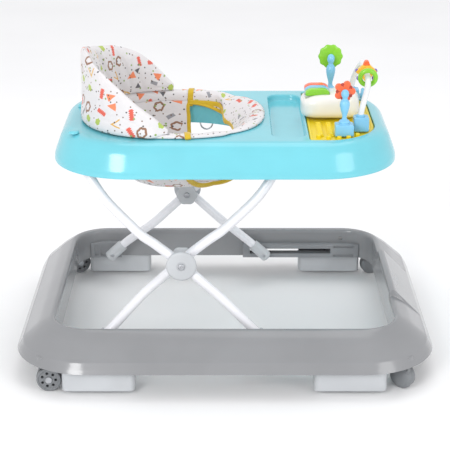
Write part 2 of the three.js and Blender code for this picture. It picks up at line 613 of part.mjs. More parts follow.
// ear-shaped knob that turns on the body's front end
const knobShape = turned([[0, 0], [4, 0], [4, 1.5], [13, 3], [14, 6], [11, 8.5], [0, 9]], 20);
addPart('toy_side_knob', place(knobShape, PIANO.x1 + 0.4, 0, 432, 0, Math.PI / 2), TOY_BLUE);

// baluster stands: a square block, a turned post with a ball, and a pin behind for a spinner
function stand(block, post) {
  const [bx, by] = block;
  const foot = box(-bx, bx, -by, by, BOARD_TOP + 0.4, BOARD_TOP + 20);
  const profile = [[0, 18], [8, 18], [8.5, 21], [4.2, 24.5], [3.6, 29], [6.2, 36], [7.6, 46], [6.8, 55],
    [4.2, 60], [4, 62.5], [5.4, 65], [5.9, 68.5], [4.8, 72.5], [0, 74.2]];
  const raised = profile.map(([radius, z]) => [radius, BOARD_TOP + (z > 24 ? 24 + (z - 24) * post : z)]);
  return join(foot, solid(turned(raised, 14)));
}

const SPINNERS = [
  { name: 'near', x: 197, y: -120, ahead: 11.5, stretch: 1.08, halfY: 13 },
  { name: 'far', x: 189, y: 100, ahead: 11.5, stretch: 1.236, halfY: 12 },
];
for (const { name, x, y, ahead, stretch, halfY } of SPINNERS) {
  const ball = BOARD_TOP + 24 + 44.5 * stretch;
  const pin = crossRod(2, 0, ball, 0, ahead + 6.5, 12);
  const post = stand([15.5, halfY], stretch).add(pin);
  addPart(`toy_stand_${name}`, post.translate([x, y, 0]), TOY_BLUE);
  const petals = name === 'near' ? 5 : 10;
  const outline = [];
  for (let k = 0; k < 60; k++) {
    const angle = 2 * Math.PI * k / 60;
    const radius = name === 'near'
      ? 10 + 8.5 * Math.abs(Math.cos(petals * angle / 2)) ** 0.6
      : 20.6 + 1.5 * Math.cos(petals * angle);
    outline.push([radius * Math.cos(angle), radius * Math.sin(angle)]);
  }
  const spinner = place(plate(outline, -2.5, 2.5), x, y + ahead, ball, Math.PI / 2);
  const bore = crossRod(2.3, x, ball, y + ahead - 5, y + ahead + 5, 12);
  const names = { near: ['toy_flower', TOY_ORANGE], far: ['toy_leaf_disc', TOY_GREEN] };
  addPart(names[name][0], cut(solid(spinner), bore), names[name][1]);
}

// arch: a white tube between two blue blocks, with a loose ring and a star on it
const archPoints = [[226, 93, 410], [226.5, 93, 425], [231, 90, 445], [237, 80, 463], [240, 60, 474.5],
  [240.5, 30, 479], [240.5, 0, 480]];
const archHalf = archPoints.map(([x, y, z]) => new THREE.Vector3(x, -y, z));
const archRest = archPoints.slice(0, -1).reverse().map(([x, y, z]) => new THREE.Vector3(x, y, z));
const archPath = new THREE.CatmullRomCurve3([...archHalf, ...archRest], false, 'centripetal');
const archSection = new THREE.Shape(circlePoints(ARCH_RADIUS, 9));
const archTube = new THREE.ExtrudeGeometry(archSection, { extrudePath: archPath, steps: 26 });
const archBlocks = SIDES.map(([, side]) => {
  const [y0, y1] = side > 0 ? [80, 105] : [-105, -80];
  return box(214.5, 240, y0, y1, BOARD_TOP + 0.4, 421);
});
addPart('toy_arch', join(solid(archTube), ...archBlocks), WHITE_PLASTIC);

// A piece threaded on the arch at parameter t, its own axis along the tube.
function threaded(name, geometry, t, material) {
  const mesh = addPart(name, geometry, material);
  mesh.position.copy(archPath.getPointAt(t));
  mesh.quaternion.setFromUnitVectors(new THREE.Vector3(0, 0, 1), archPath.getTangentAt(t));
  return mesh;
}

const ring = turned([[8.7, 0], [10.5, -3.6], [14, -4.4], [17, -1.6], [17, 1.6], [14, 4.4], [10.5, 3.6],
  [8.7, 0]], 20);
threaded('toy_ring', ring, 0.315, TOY_GREEN);
const starOutline = [];
for (let k = 0; k < 8; k++) {
  const radius = k % 2 ? 12 : 19;
  starOutline.push([radius * Math.cos(Math.PI * k / 4), radius * Math.sin(Math.PI * k / 4)]);
}
const star = cut(solid(plate(starOutline, -4, 4)), solid(rod(5.9, -6, 6, 16)));
threaded('toy_star', star, 0.43, STAR_YELLOW);

export default walker;
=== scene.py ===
"""Baby walker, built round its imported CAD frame.

Run as a script, this makes every visible surface of a folding baby walker: a moulded ring base on
castors, two crossed steel tubes, a moulded tray with a sewn seat, and a board of toys. The file is
laid out as an add-on: sizes and colours are properties, each group of pieces is an operator, and a
panel lists them. Lengths in the shape functions are millimetres in the frame's own axes (+X towards
the toys, +Y to the child's left, +Z up); put() turns them to metres.
"""

import math

import bpy
import numpy as np
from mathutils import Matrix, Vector


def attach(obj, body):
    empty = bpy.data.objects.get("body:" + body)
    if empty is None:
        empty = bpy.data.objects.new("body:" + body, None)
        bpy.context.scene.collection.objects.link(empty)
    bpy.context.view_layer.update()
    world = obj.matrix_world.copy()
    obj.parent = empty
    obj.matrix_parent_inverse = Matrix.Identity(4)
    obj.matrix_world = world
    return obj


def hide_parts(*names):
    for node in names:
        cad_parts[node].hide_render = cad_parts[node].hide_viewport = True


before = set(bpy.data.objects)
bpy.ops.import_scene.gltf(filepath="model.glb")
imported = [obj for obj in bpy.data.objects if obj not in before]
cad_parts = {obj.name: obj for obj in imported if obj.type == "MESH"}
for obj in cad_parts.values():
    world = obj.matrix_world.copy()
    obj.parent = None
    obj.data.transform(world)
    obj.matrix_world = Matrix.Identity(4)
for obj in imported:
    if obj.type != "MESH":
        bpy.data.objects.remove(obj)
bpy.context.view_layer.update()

bl_info = {
    "name": "Baby walker",
    "version": (1, 0, 0),
    "blender": (4, 5, 0),
    "location": "View3D > Sidebar > Walker",
    "description": "Builds a folding baby walker's visible pieces round its CAD frame",
    "category": "Add Mesh",
}

MM = 0.001
TURN = 2 * math.pi
SIDES = (("r", -1), ("l", 1))


# ---------------------------------------------------------------- colour and shader nodes


def srgb(code):
    """An sRGB hex colour as linear red, green, blue."""
    parts = [int(code[i : i + 2], 16) / 255 for i in (0, 2, 4)]
    return tuple(v / 12.92 if v <= 0.04045 else ((v + 0.055) / 1.055) ** 2.4 for v in parts)


def rgba(code):
    return (*srgb(code), 1.0)


def node(tree, kind, inputs=None, output=None, **settings):
    """Adds one shader node: settings are its own values, inputs are values or sockets by name.

    Gives back the node, or one of its outputs where output names one.
    """
    made = tree.nodes.new(f"ShaderNode{kind}")
    for key, value in settings.items():
        setattr(made, key, value)
    for key, value in (inputs or {}).items():
        if isinstance(value, bpy.types.NodeSocket):
            tree.links.new(value, made.inputs[key])
        else:
            made.inputs[key].default_value = value
    return made if output is None else made.outputs[output]


def new_material(name, **shader):
    """An empty material with its shader; the values given are set on the shader's own sockets."""
    material = bpy.data.materials.new(name)
    material.use_nodes = True
    tree = material.node_tree
    surface = tree.nodes["Principled BSDF"]
    for key, value in shader.items():
        surface.inputs[key.replace("_", " ")].default_value = value
    return material, tree, surface


def per_metre(size_mm):
    """Texture scale that gives features of that size."""
    return 1000.0 / size_mm


def moulded(name, tone, gloss=0.3, grain_mm=0.0, grain_depth=0.0, flow=0.04, coat=0.0):
    """An injection-moulded plastic.

    The colour drifts a little over about 90 mm, as melt flow and thickness change it; the gloss is
    broken by a 2.5 mm ripple from the cooling skin and by handling marks; grain_mm adds the fine
    spark-eroded texture of a matt moulding.
    """
    material, tree, surface = new_material(name, IOR=1.5, Coat_Weight=coat, Coat_Roughness=0.08)
    place = node(tree, "TexCoord", output="Object")
    drift = node(tree, "TexNoise", {"Vector": place, "Scale": per_metre(90), "Detail": 2.0}, "Fac")
    base = np.array(tone)
    tones = {6: (*(base * (1 - flow * 2.2)), 1.0), 7: (*np.minimum(base * (1 + flow), 1.0), 1.0)}
    shade = node(tree, "MapRange", {"Value": drift, "From Min": 0.35, "From Max": 0.65}, 0)
    colour = node(tree, "Mix", {"Factor": shade, **tones}, 2, data_type="RGBA")
    tree.links.new(colour, surface.inputs["Base Color"])
    streaks = node(tree, "Mapping", {"Vector": place, "Scale": (1.0, 0.25, 0.6)}, 0)
    marks = node(tree, "TexNoise", {"Vector": streaks, "Scale": per_metre(45), "Detail": 4.0}, "Fac")
    limits = {"From Min": 0.3, "From Max": 0.75, "To Min": gloss * 0.9, "To Max": gloss * 1.15}
    rough = node(tree, "MapRange", {"Value": marks, **limits}, 0)
    tree.links.new(rough, surface.inputs["Roughness"])
    height = node(tree, "TexNoise", {"Vector": place, "Scale": per_metre(2.5), "Detail": 1.0}, "Fac")
    depth = 0.000006
    if grain_mm:
        fine = node(tree, "TexNoise", {"Vector": place, "Scale": per_metre(grain_mm)}, "Fac")
        height = node(tree, "Math", {0: height, 1: 0.3, 2: fine}, 0, operation="MULTIPLY_ADD")
        depth = grain_depth
    bump = node(tree, "Bump", {"Height": height, "Distance": depth, "Strength": 0.5}, 0)
    tree.links.new(bump, surface.inputs["Normal"])
    return material


def powder_coat(name, tone):
    """White powder-coated steel tube: a thick glossy skin with a 1.2 mm orange-peel surface."""
    material, tree, surface = new_material(name, IOR=1.52, Coat_Weight=0.35, Coat_Roughness=0.1)
    place = node(tree, "TexCoord", output="Object")
    drift = node(tree, "TexNoise", {"Vector": place, "Scale": per_metre(60), "Detail": 3.0}, "Fac")
    base = np.array(tone)
    tones = {6: (*(base * 0.94), 1.0), 7: (*np.minimum(base * 1.02, 1), 1.0)}
    shade = node(tree, "MapRange", {"Value": drift, "From Min": 0.3, "From Max": 0.7}, 0)
    colour = node(tree, "Mix", {"Factor": shade, **tones}, 2, data_type="RGBA")
    tree.links.new(colour, surface.inputs["Base Color"])
    rough = node(tree, "MapRange", {"Value": shade, "To Min": 0.22, "To Max": 0.32}, 0)
    tree.links.new(rough, surface.inputs["Roughness"])
    peel = node(tree, "TexNoise", {"Vector": place, "Scale": per_metre(1.2), "Detail": 1.0}, "Fac")
    bump = node(tree, "Bump", {"Height": peel, "Distance": 0.00006, "Strength": 0.5}, 0)
    tree.links.new(bump, surface.inputs["Normal"])
    return material


def zinc_plate(name, tone):
    """Zinc-plated steel: bright grey metal with fine drawn streaks and cloudy passivation."""
    material, tree, surface = new_material(name, Metallic=1.0)
    place = node(tree, "TexCoord", output="Object")
    cloud = node(tree, "TexNoise", {"Vector": place, "Scale": per_metre(6), "Detail": 4.0}, "Fac")
    base = np.array(tone)
    shade = node(tree, "MapRange", {"Value": cloud, "From Min": 0.3, "From Max": 0.7}, 0)
    tones = {6: (*(base * 0.75), 1.0), 7: (*base, 1.0)}
    colour = node(tree, "Mix", {"Factor": shade, **tones}, 2, data_type="RGBA")
    tree.links.new(colour, surface.inputs["Base Color"])
    rough = node(tree, "MapRange", {"Value": shade, "To Min": 0.28, "To Max": 0.45}, 0)
    tree.links.new(rough, surface.inputs["Roughness"])
    drawn = node(tree, "Mapping", {"Vector": place, "Scale": (1.0, 0.05, 1.0)}, 0)
    streak = node(tree, "TexNoise", {"Vector": drawn, "Scale": per_metre(0.4)}, "Fac")
    bump = node(tree, "Bump", {"Height": streak, "Distance": 0.00003, "Strength": 0.5}, 0)
    tree.links.new(bump, surface.inputs["Normal"])
    return material


# the seat's printed cloth: shape, colour and how often each motif comes up in the repeat
MOTIFS = (
    ("ring", "8A5A34", 0.16),
    ("cone", "EF7E45", 0.30),
    ("blob", "A9BF3C", 0.42),
    ("pill", "8C8E94", 0.55),
    ("strip", "DE4B2A", 0.68),
    ("outline", "D9A52B", 0.82),
    ("triangle", "4A4A50", 0.92),
)
MOTIF_PITCH = 27.0

# measures of a motif's cell, each an operation on earlier ones: x and y across the cell, away from
# its middle, all as shares of the cell's size
MEASURES = (
    ("bearing", "ARCTAN2", "y", "x"),
    ("sixth", "MULTIPLY", "bearing", 6.0),
    ("wave", "SINE", "sixth"),
    ("lobed", "MULTIPLY_ADD", "wave", 0.02, "away"),
    ("wide", "ABSOLUTE", "x"),
    ("tall", "ABSOLUTE", "y"),
    ("below", "MULTIPLY", "y", -1.0),
    ("slope", "MULTIPLY_ADD", "wide", 2.1, "y"),
    ("teeth", "PINGPONG", "x", 0.06),
    ("jag", "MULTIPLY_ADD", "teeth", 1.4, "tall"),
    ("squat", "MULTIPLY", "wide", 0.45),
    ("round", "MAXIMUM", "squat", "tall"),
)
# each motif is where every one of its measures is under its edge; a minus sign means over it
SHAPES = {
    "ring": (("lobed", 0.33), ("lobed", -0.2)),
    "cone": (("slope", 0.3), ("below", 0.28)),
    "blob": (("lobed", 0.21),),
    "pill": (("round", 0.11),),
    "strip": (("jag", 0.17), ("wide", 0.34)),
    "outline": (("slope", 0.34), ("slope", -0.16), ("below", 0.26), ("away", 0.42)),
    "triangle": (("slope", 0.2), ("below", 0.2)),
}
# small dots between the motifs: pitch in mm, radius as a share of the pitch, colour
DOTS = ((11.0, 0.11, "6B4A2C"), (14.0, 0.1, "2B2B2E"), (17.0, 0.1, "7FA23A"))


def printed_polyester(name, tone, thread_mm=1.1):
    """Printed polyester lining: a plain weave, off-white, with small bright shapes scattered on it.

    The cloth's own UV map is in metres. A Voronoi cell about 27 mm wide holds one motif; the cell's
    random colour picks its kind, turn and colour. Threads are really 0.35 mm apart and are drawn
    three times as coarse, so that they show.
    """
    material, tree, surface = new_material(name, IOR=1.45, Sheen_Weight=0.25, Sheen_Roughness=0.5)
    uv = node(tree, "TexCoord", output="UV")
    warp = node(tree, "TexNoise", {"Vector": uv, "Scale": per_metre(30), "Detail": 2.0}, "Color")
    bent = node(tree, "VectorMath", {0: warp, 1: (0.5, 0.5, 0.5)}, 0, operation="SUBTRACT")
    nudge = {0: bent, 1: (0.006, 0.006, 0.006), 2: uv}
    place = node(tree, "VectorMath", nudge, 0, operation="MULTIPLY_ADD")
    cell = {"Vector": place, "Scale": per_metre(MOTIF_PITCH), "Randomness": 0.72}
    nearest = node(tree, "TexVoronoi", cell, voronoi_dimensions="2D")
    kind = node(tree, "SeparateColor", {"Color": nearest.outputs["Color"]})
    step = {0: place, 1: nearest.outputs["Position"]}
    offset = node(tree, "VectorMath", step, 0, operation="SUBTRACT")
    scale = {0: offset, "Scale": per_metre(MOTIF_PITCH)}
    local = node(tree, "VectorMath", scale, 0, operation="SCALE")
    turn = node(tree, "Math", {0: kind.outputs["Green"], 1: TURN}, 0, operation="MULTIPLY")
    spun = {"Vector": local, "Angle": turn}
    spin = node(tree, "VectorRotate", spun, 0, rotation_type="Z_AXIS")
    axes = node(tree, "SeparateXYZ", {"Vector": spin})
    value = {"x": axes.outputs[0], "y": axes.outputs[1], "away": nearest.outputs["Distance"]}
    for measure, operation, *terms in MEASURES:
        sockets = {k: value.get(term, term) for k, term in enumerate(terms)}
        value[measure] = node(tree, "Math", sockets, 0, operation=operation)
    soft = node(tree, "TexNoise", {"Vector": uv, "Scale": per_metre(70), "Detail": 2.0}, "Fac")
    ground = np.array(tone)
    tones = {6: (*(ground * 0.93), 1.0), 7: (*ground, 1.0)}
    colour = node(tree, "Mix", {"Factor": soft, **tones}, 2, data_type="RGBA")
    start = 0.0
    for motif, motif_code, end in MOTIFS:
        pick = {0: kind.outputs["Red"], 1: (start + end) / 2, 2: (end - start) / 2}
        mask = node(tree, "Math", pick, 0, operation="COMPARE")
        for measure, edge in SHAPES[motif]:
            under = edge > 0
            limits = {"From Min": abs(edge) - 0.008, "From Max": abs(edge) + 0.008}
            limits |= {"To Min": float(under), "To Max": float(not under)}
            inside = node(tree, "MapRange", {"Value": value[measure], **limits}, 0)
            mask = node(tree, "Math", {0: mask, 1: inside}, 0, operation="MULTIPLY")
        layers = {"Factor": mask, 6: colour, 7: rgba(motif_code)}
        colour = node(tree, "Mix", layers, 2, data_type="RGBA")
        start = end
    for pitch, radius, dot_code in DOTS:
        shift = node(tree, "Mapping", {"Vector": uv, "Location": (pitch / 9, pitch / 31, 0)}, 0)
        spots = {"Vector": shift, "Scale": per_metre(pitch)}
        dots = node(tree, "TexVoronoi", spots, voronoi_dimensions="2D")
        few = node(tree, "SeparateColor", {"Color": dots.outputs["Color"]}, "Red")
        kept = node(tree, "Math", {0: few, 1: 0.4}, 0, operation="LESS_THAN")
        limits = {"From Min": radius - 0.008, "From Max": radius + 0.008, "To Min": 1.0, "To Max": 0.0}
        disc = node(tree, "MapRange", {"Value": dots.outputs["Distance"], **limits}, 0)
        mask = node(tree, "Math", {0: disc, 1: kept}, 0, operation="MULTIPLY")
        layers = {"Factor": mask, 6: colour, 7: rgba(dot_code)}
        colour = node(tree, "Mix", layers, 2, data_type="RGBA")
    threads = {}
    for place_in, direction in enumerate("XY"):
        band = {"Vector": uv, "Scale": per_metre(thread_mm) * math.pi / 20}
        threads[place_in] = node(
            tree, "TexWave", band, "Fac", bands_direction=direction, wave_type="BANDS"
        )
    weave = node(tree, "Math", threads, 0, operation="MAXIMUM")
    # grey B9B6B8 goes into the whole cloth at about 13 % for a greyer ground, and a little more in the gaps
    # between threads as painted shade
    grey_ground_and_gap_shade = node(tree, "MapRange", {"Value": weave, "To Min": 0.15, "To Max": 0.132}, 0)
    layers = {"Factor": grey_ground_and_gap_shade, 6: colour, 7: rgba("B9B6B8")}
    colour = node(tree, "Mix", layers, 2, data_type="RGBA")
    tree.links.new(colour, surface.inputs["Base Color"])
    rough = node(tree, "MapRange", {"Value": weave, "To Min": 0.92, "To Max": 0.8}, 0)
    tree.links.new(rough, surface.inputs["Roughness"])
    rumple = node(tree, "TexNoise", {"Vector": uv, "Scale": per_metre(16), "Detail": 3.0}, "Fac")
    height = node(tree, "Math", {0: rumple, 1: 5.0, 2: weave}, 0, operation="MULTIPLY_ADD")
    bump = node(tree, "Bump", {"Height": height, "Distance": 0.0002, "Strength": 0.7}, 0)
    tree.links.new(bump, surface.inputs["Normal"])
    return material


def binding_tape(name, tone):
    """Folded grosgrain binding: ribs across the tape, 1.2 mm apart, and a dull woven sheen."""
    material, tree, surface = new_material(name, IOR=1.45, Sheen_Weight=0.3, Sheen_Roughness=0.4)
    uv = node(tree, "TexCoord", output="UV")
    ribs = {"Vector": uv, "Scale": per_metre(1.2) * math.pi / 10}
    wave = node(tree, "TexWave", ribs, "Fac", bands_direction="X", wave_type="BANDS")
    drift = node(tree, "TexNoise", {"Vector": uv, "Scale": per_metre(12), "Detail": 3.0}, "Fac")
    base = np.array(tone)
    # the colour follows the ribs: darker in the grooves between them as painted shade, lighter on their tops
    # as painted light, drifting at random along the tape
    shade = node(tree, "Math", {0: wave, 1: drift}, 0, operation="MULTIPLY")
    tones = {6: (*(base * 0.72), 1.0), 7: (*np.minimum(base * 1.08, 1), 1.0)}
    colour = node(tree, "Mix", {"Factor": shade, **tones}, 2, data_type="RGBA")
    tree.links.new(colour, surface.inputs["Base Color"])
    rough = node(tree, "MapRange", {"Value": wave, "To Min": 0.85, "To Max": 0.68}, 0)
    tree.links.new(rough, surface.inputs["Roughness"])
    bump = node(tree, "Bump", {"Height": wave, "Distance": 0.0002, "Strength": 0.6}, 0)
    tree.links.new(bump, surface.inputs["Normal"])
    return material


# ---------------------------------------------------------------- surfaces


def faces_between(rows, columns, wrap_rows, wrap_columns):
    """Quads joining each grid point to the next along both directions, closed where asked."""
    row = np.arange(rows if wrap_rows else rows - 1)[:, None]
    column = np.arange(columns if wrap_columns else columns - 1)[None, :]
    below, beside = (row + 1) % rows, (column + 1) % columns
    corners = [row * columns + column, row * columns + beside]
    corners += [below * columns + beside, below * columns + column]
    return np.stack(np.broadcast_arrays(*corners), -1).reshape(-1, 4)


def outwards(points, faces):
    """The same solid with its faces turned outwards: the volume by the divergence theorem is > 0."""
    volume = 0.0
    for group in faces:
        a = points[group[:, 0]]
        for k in range(1, group.shape[1] - 1):
            b, c = points[group[:, k]], points[group[:, k + 1]]
            volume += np.einsum("ij,ij->", a, np.cross(b, c))
    return (points, faces if volume > 0 else [group[:, ::-1] for group in faces])


def skin(grid, poles=True):
    """A closed solid through a stack of closed rows: grid is rows x columns x 3.

    Each end is closed by a fan to a pole: the row's own middle, or the point given.
    """
    rows, columns = grid.shape[:2]
    points = grid.reshape(-1, 3)
    ends = [grid[0].mean(0), grid[-1].mean(0)] if poles is True else poles
    points = np.vstack([points, ends])
    turn = np.arange(columns)
    first = np.stack([np.full(columns, rows * columns), (turn + 1) % columns, turn], 1)
    start = (rows - 1) * columns
    last = np.stack([np.full(columns, rows * columns + 1), start + turn, start + (turn + 1) % columns], 1)
    return outwards(points, [faces_between(rows, columns, False, True), first, last])


def hoop(grid):
    """A closed ring: both directions of the grid come back to their start."""
    rows, columns = grid.shape[:2]
    return outwards(grid.reshape(-1, 3), [faces_between(rows, columns, True, True)])


def together(*solids):
    """Several closed solids as one list of points and faces."""
    points, faces, start = [], [], 0
    for some, groups in solids:
        points.append(some)
        faces += [group + start for group in groups]
        start += len(some)
    return np.vstack(points), faces


def smoothstep(value):
    value = np.clip(value, 0.0, 1.0)
    return value * value * (3 - 2 * value)


def rounded(points, radii, steps=5):
    """A polyline with its inner corners rounded: each is a parabola from radius before to after."""
    points = np.asarray(points, float)
    radii = np.broadcast_to(radii, len(points))
    out = [points[0]]
    t = np.linspace(0, 1, steps + 1)[:, None]
    for before, corner, after, radius in zip(points[:-2], points[1:-1], points[2:], radii[1:-1]):
        reach = [np.linalg.norm(before - corner), np.linalg.norm(after - corner)]
        cut = min(radius, 0.49 * reach[0], 0.49 * reach[1])
        start = corner + (before - corner) * cut / reach[0]
        end = corner + (after - corner) * cut / reach[1]
        out.append((1 - t) ** 2 * start + 2 * t * (1 - t) * corner + t**2 * end)
    out.append(points[-1])
    return np.vstack(out)


def rounded_loop(points, radius, steps=5):
    """A closed outline with every corner rounded."""
    points = np.asarray(points, float)
    around = np.vstack([points[-1], points, points[0]])
    return rounded(around, radius, steps)[1:-1]


def turned(profile, origin=(0, 0, 0), axis=(0, 0, 1), sides=48, bored=False):
    """A profile of [radius, height] turned about the axis through origin.

    Point = origin + radius (cos a u + sin a v) + height axis. A bored profile is a closed loop;
    any other starts and ends on the axis.
    """
    profile = np.asarray(profile, float)
    axis = np.asarray(axis, float) / np.linalg.norm(axis)
    helper = np.array([0.0, 0.0, 1.0]) if abs(axis[2]) < 0.9 else np.array([1.0, 0.0, 0.0])
    u = np.cross(helper, axis)
    u /= np.linalg.norm(u)
    v = np.cross(axis, u)
    angle = np.arange(sides) * TURN / sides
    circle = np.cos(angle)[:, None] * u + np.sin(angle)[:, None] * v
    grid = profile[:, 0, None, None] * circle + profile[:, 1, None, None] * axis + np.asarray(origin, float)
    if bored:
        return hoop(grid)
    return skin(grid[1:-1], [grid[0, 0], grid[-1, 0]])


def spline(points, count, closed=False):
    """Centripetal Catmull-Rom curve through the points, resampled to equal steps of length.

    Between two points each knot lies the square root of their distance further on, and the curve
    is the pyramid of straight blends between the four nearest points.
    """
    points = np.asarray(points, float)
    if closed:
        ring = np.vstack([points[-1], points, points[:2]])
    else:
        ring = np.vstack([2 * points[0] - points[1], points, 2 * points[-1] - points[-2]])
    parts = []
    for p0, p1, p2, p3 in zip(ring[:-3], ring[1:-2], ring[2:-1], ring[3:]):
        steps = np.diff(np.stack([p0, p1, p2, p3]), axis=0)
        knots = np.cumsum([0.0, *np.sqrt(np.linalg.norm(steps, axis=1))])
        t = np.linspace(knots[1], knots[2], 40, endpoint=False)[:, None]

        def blend(a, b, i, j):
            return (a * (knots[j] - t) + b * (t - knots[i])) / (knots[j] - knots[i])

        first, second, third = blend(p0, p1, 0, 1), blend(p1, p2, 1, 2), blend(p2, p3, 2, 3)
        parts.append(blend(blend(first, second, 0, 2), blend(second, third, 1, 3), 1, 2))
    line = np.vstack([*parts, points[:1] if closed else points[-1:]])
    along = np.concatenate([[0], np.cumsum(np.linalg.norm(np.diff(line, axis=0), axis=1))])
    wanted = np.linspace(0, along[-1], count, endpoint=not closed)
    return np.stack([np.interp(wanted, along, line[:, k]) for k in range(3)], 1)


def swept(path, section, across, closed=False):
    """A closed section of [a, b] carried along a path: point = path + a side + b up.

    side is across made square to the path's tangent, and up is square to both.
    """
    section = np.asarray(section, float)
    if closed:
        tangent = np.roll(path, -1, 0) - np.roll(path, 1, 0)
    else:
        tangent = np.gradient(path, axis=0)
    tangent /= np.linalg.norm(tangent, axis=1)[:, None]
    across = np.broadcast_to(np.asarray(across, float), path.shape)
    side = across - np.einsum("ij,ij->i", across, tangent)[:, None] * tangent
    side /= np.linalg.norm(side, axis=1)[:, None]
    up = np.cross(tangent, side)
    a, b = section[None, :, :1], section[None, :, 1:]
    grid = path[:, None] + a * side[:, None] + b * up[:, None]
    return hoop(grid) if closed else skin(grid)


def circle(radius, sides=28):
    angle = np.arange(sides) * TURN / sides
    return radius * np.stack([np.cos(angle), np.sin(angle)], 1)


def stacked(outlines, heights):
    """A closed solid through flat outlines, one over another: each outline is N x [x, y]."""
    rows = [np.column_stack([xy, np.full(len(xy), z)]) for xy, z in zip(outlines, heights)]
    return skin(np.stack(rows))


def slab(outline, z0, z1, edge=1.0, steps=4):
    """An outline as a plate with softened edges, each a quarter circle of the edge's radius.

    The outline shrinks towards its own middle by the amount the quarter circle takes.
    """
    outline = np.asarray(outline, float)
    middle = (outline.max(0) + outline.min(0)) / 2
    half = np.maximum((outline.max(0) - outline.min(0)) / 2, 1e-6)
    angle = np.linspace(0, math.pi / 2, steps + 1)
    insets = edge * (1 - np.sin(angle))
    lower = z0 + edge * (1 - np.cos(angle))
    heights = np.concatenate([lower, (z1 + z0 - lower)[::-1]])
    insets = np.concatenate([insets, insets[::-1]])
    rows = [middle + (outline - middle) * (1 - inset / half) for inset in insets]
    return stacked(rows, heights)


def block(low, high, edge=1.5, corner=None):
    """A box from one corner to the other with all of its edges rounded."""
    (x0, y0, z0), (x1, y1, z1) = low, high
    corners = [(x0, y0), (x1, y0), (x1, y1), (x0, y1)]
    return slab(rounded_loop(corners, corner or edge), z0, z1, edge)


def upright(solid, y_from):
    """Turns a solid drawn in x, y and raised in z so that it stands in x, z and runs along y."""
    points, faces = solid
    moved = np.column_stack([points[:, 0], y_from + points[:, 2], points[:, 1]])
    return outwards(moved, faces)


def moved(solid, offset=(0, 0, 0), turn_z=0.0):
    """A solid turned about the Z axis by turn_z degrees and then moved."""
    points, faces = solid
    c, s = math.cos(math.radians(turn_z)), math.sin(math.radians(turn_z))
    turned_points = points @ np.array([[c, s, 0], [-s, c, 0], [0, 0, 1]])
    return turned_points + np.asarray(offset, float), faces


def rounded_rectangle(half_x, half_y, radius, steps=16, centre=(0, 0)):
    """Outline of a rectangle whose corners are quarter circles."""
    angle = np.linspace(0, math.pi / 2, steps + 1)
    quarter = radius * np.stack([np.cos(angle), np.sin(angle)], 1)
    core = np.array([half_x - radius, half_y - radius])
    parts = []
    for sx, sy, swap in ((1, 1, False), (-1, 1, True), (-1, -1, False), (1, -1, True)):
        part = (core + (quarter[::-1] if swap else quarter)) * [sx, sy]
        parts.append(part)
    return np.vstack(parts) + centre


def superellipse(half_x, half_y, exponent, angle, centre_x=0.0):
    """x = a sgn(c) |c|^(2/n), y = b sgn(s) |s|^(2/n), with c and s of the angle."""
    c, s = np.cos(angle), np.sin(angle)
    x = centre_x + half_x * np.sign(c) * np.abs(c) ** (2 / exponent)
    return np.stack([x, half_y * np.sign(s) * np.abs(s) ** (2 / exponent)], 1)


# ---------------------------------------------------------------- putting pieces into the scene


def put(name, solid, material, sharp=38.0, uv=None):
    """Makes a mesh object from a solid in millimetres; uv is one pair per point, in metres."""
    points, faces = solid
    mesh = bpy.data.meshes.new(name)
    mesh.from_pydata((points * MM).tolist(), [], [f for group in faces for f in group.tolist()])
    mesh.materials.append(material)
    if uv is not None:
        layer = mesh.uv_layers.new(name="cloth")
        corner = np.empty(len(mesh.loops), dtype=np.int32)
        mesh.loops.foreach_get("vertex_index", corner)
        layer.data.foreach_set("uv", np.asarray(uv, np.float32)[corner].ravel())
    mesh.shade_smooth()
    if sharp < 180:
        mesh.set_sharp_from_angle(angle=math.radians(sharp))
    mesh.validate()
    made = bpy.data.objects.new(name, mesh)
    bpy.context.scene.collection.objects.link(made)
    return made


def settle(made):
    """Replaces a piece's mesh by what its modifiers make of it, and drops them."""
    graph = bpy.context.evaluated_depsgraph_get()
    mesh = bpy.data.meshes.new_from_object(made.evaluated_get(graph))
    made.modifiers.clear()
    made.data = mesh


def carve(piece, cutters, operation="DIFFERENCE", sharp=38.0):
    """Cuts solids out of a piece, or joins them to it, and marks its sharp edges by angle."""
    helpers = [put(f"tool_{i}", solid, piece.data.materials[0], 180) for i, solid in enumerate(cutters)]
    for helper in helpers:
        tool = piece.modifiers.new("tool", "BOOLEAN")
        tool.operation = operation
        tool.solver = "EXACT"
        tool.object = helper
    bpy.context.view_layer.update()
    settle(piece)
    for helper in helpers:
        bpy.data.objects.remove(helper)
    piece.data.shade_smooth()
    piece.data.set_sharp_from_angle(angle=math.radians(sharp))


def even_shading(piece):
    """Flat faces stay flat beside rounded edges: corner normals follow the larger faces."""
    weighted = piece.modifiers.new("even shading", "WEIGHTED_NORMAL")
    weighted.keep_sharp = True
    weighted.weight = 80


def belongs(piece, body, slot_name, *nodes):
    """The piece moves with a body and stands for CAD nodes, which it hides; slot_name is not used."""
    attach(piece, body)
    if nodes:
        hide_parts(*nodes)


def dress(node_name, material, edge_mm=0.5):
    """A CAD node that keeps its own shape gets a real finish and softened edges."""
    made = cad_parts[node_name]
    made.data.materials.clear()
    made.data.materials.append(material)
    weld = made.modifiers.new("weld", "WELD")
    weld.merge_threshold = 0.00001
    if edge_mm:
        bevel = made.modifiers.new("edges", "BEVEL")
        bevel.width = edge_mm * MM
        bevel.segments = 2
        bevel.angle_limit = math.radians(40)
        bevel.harden_normals = True
    return made


# ---------------------------------------------------------------- sizes and colours


def length(label, about, millimetres):
    return bpy.props.FloatProperty(
        name=label, description=about, default=millimetres * MM, min=0.0, unit="LENGTH"
    )


def tint(label, about, code):
    return bpy.props.FloatVectorProperty(
        name=label, description=about, default=srgb(code), size=3, subtype="COLOR", min=0.0, max=1.0
    )


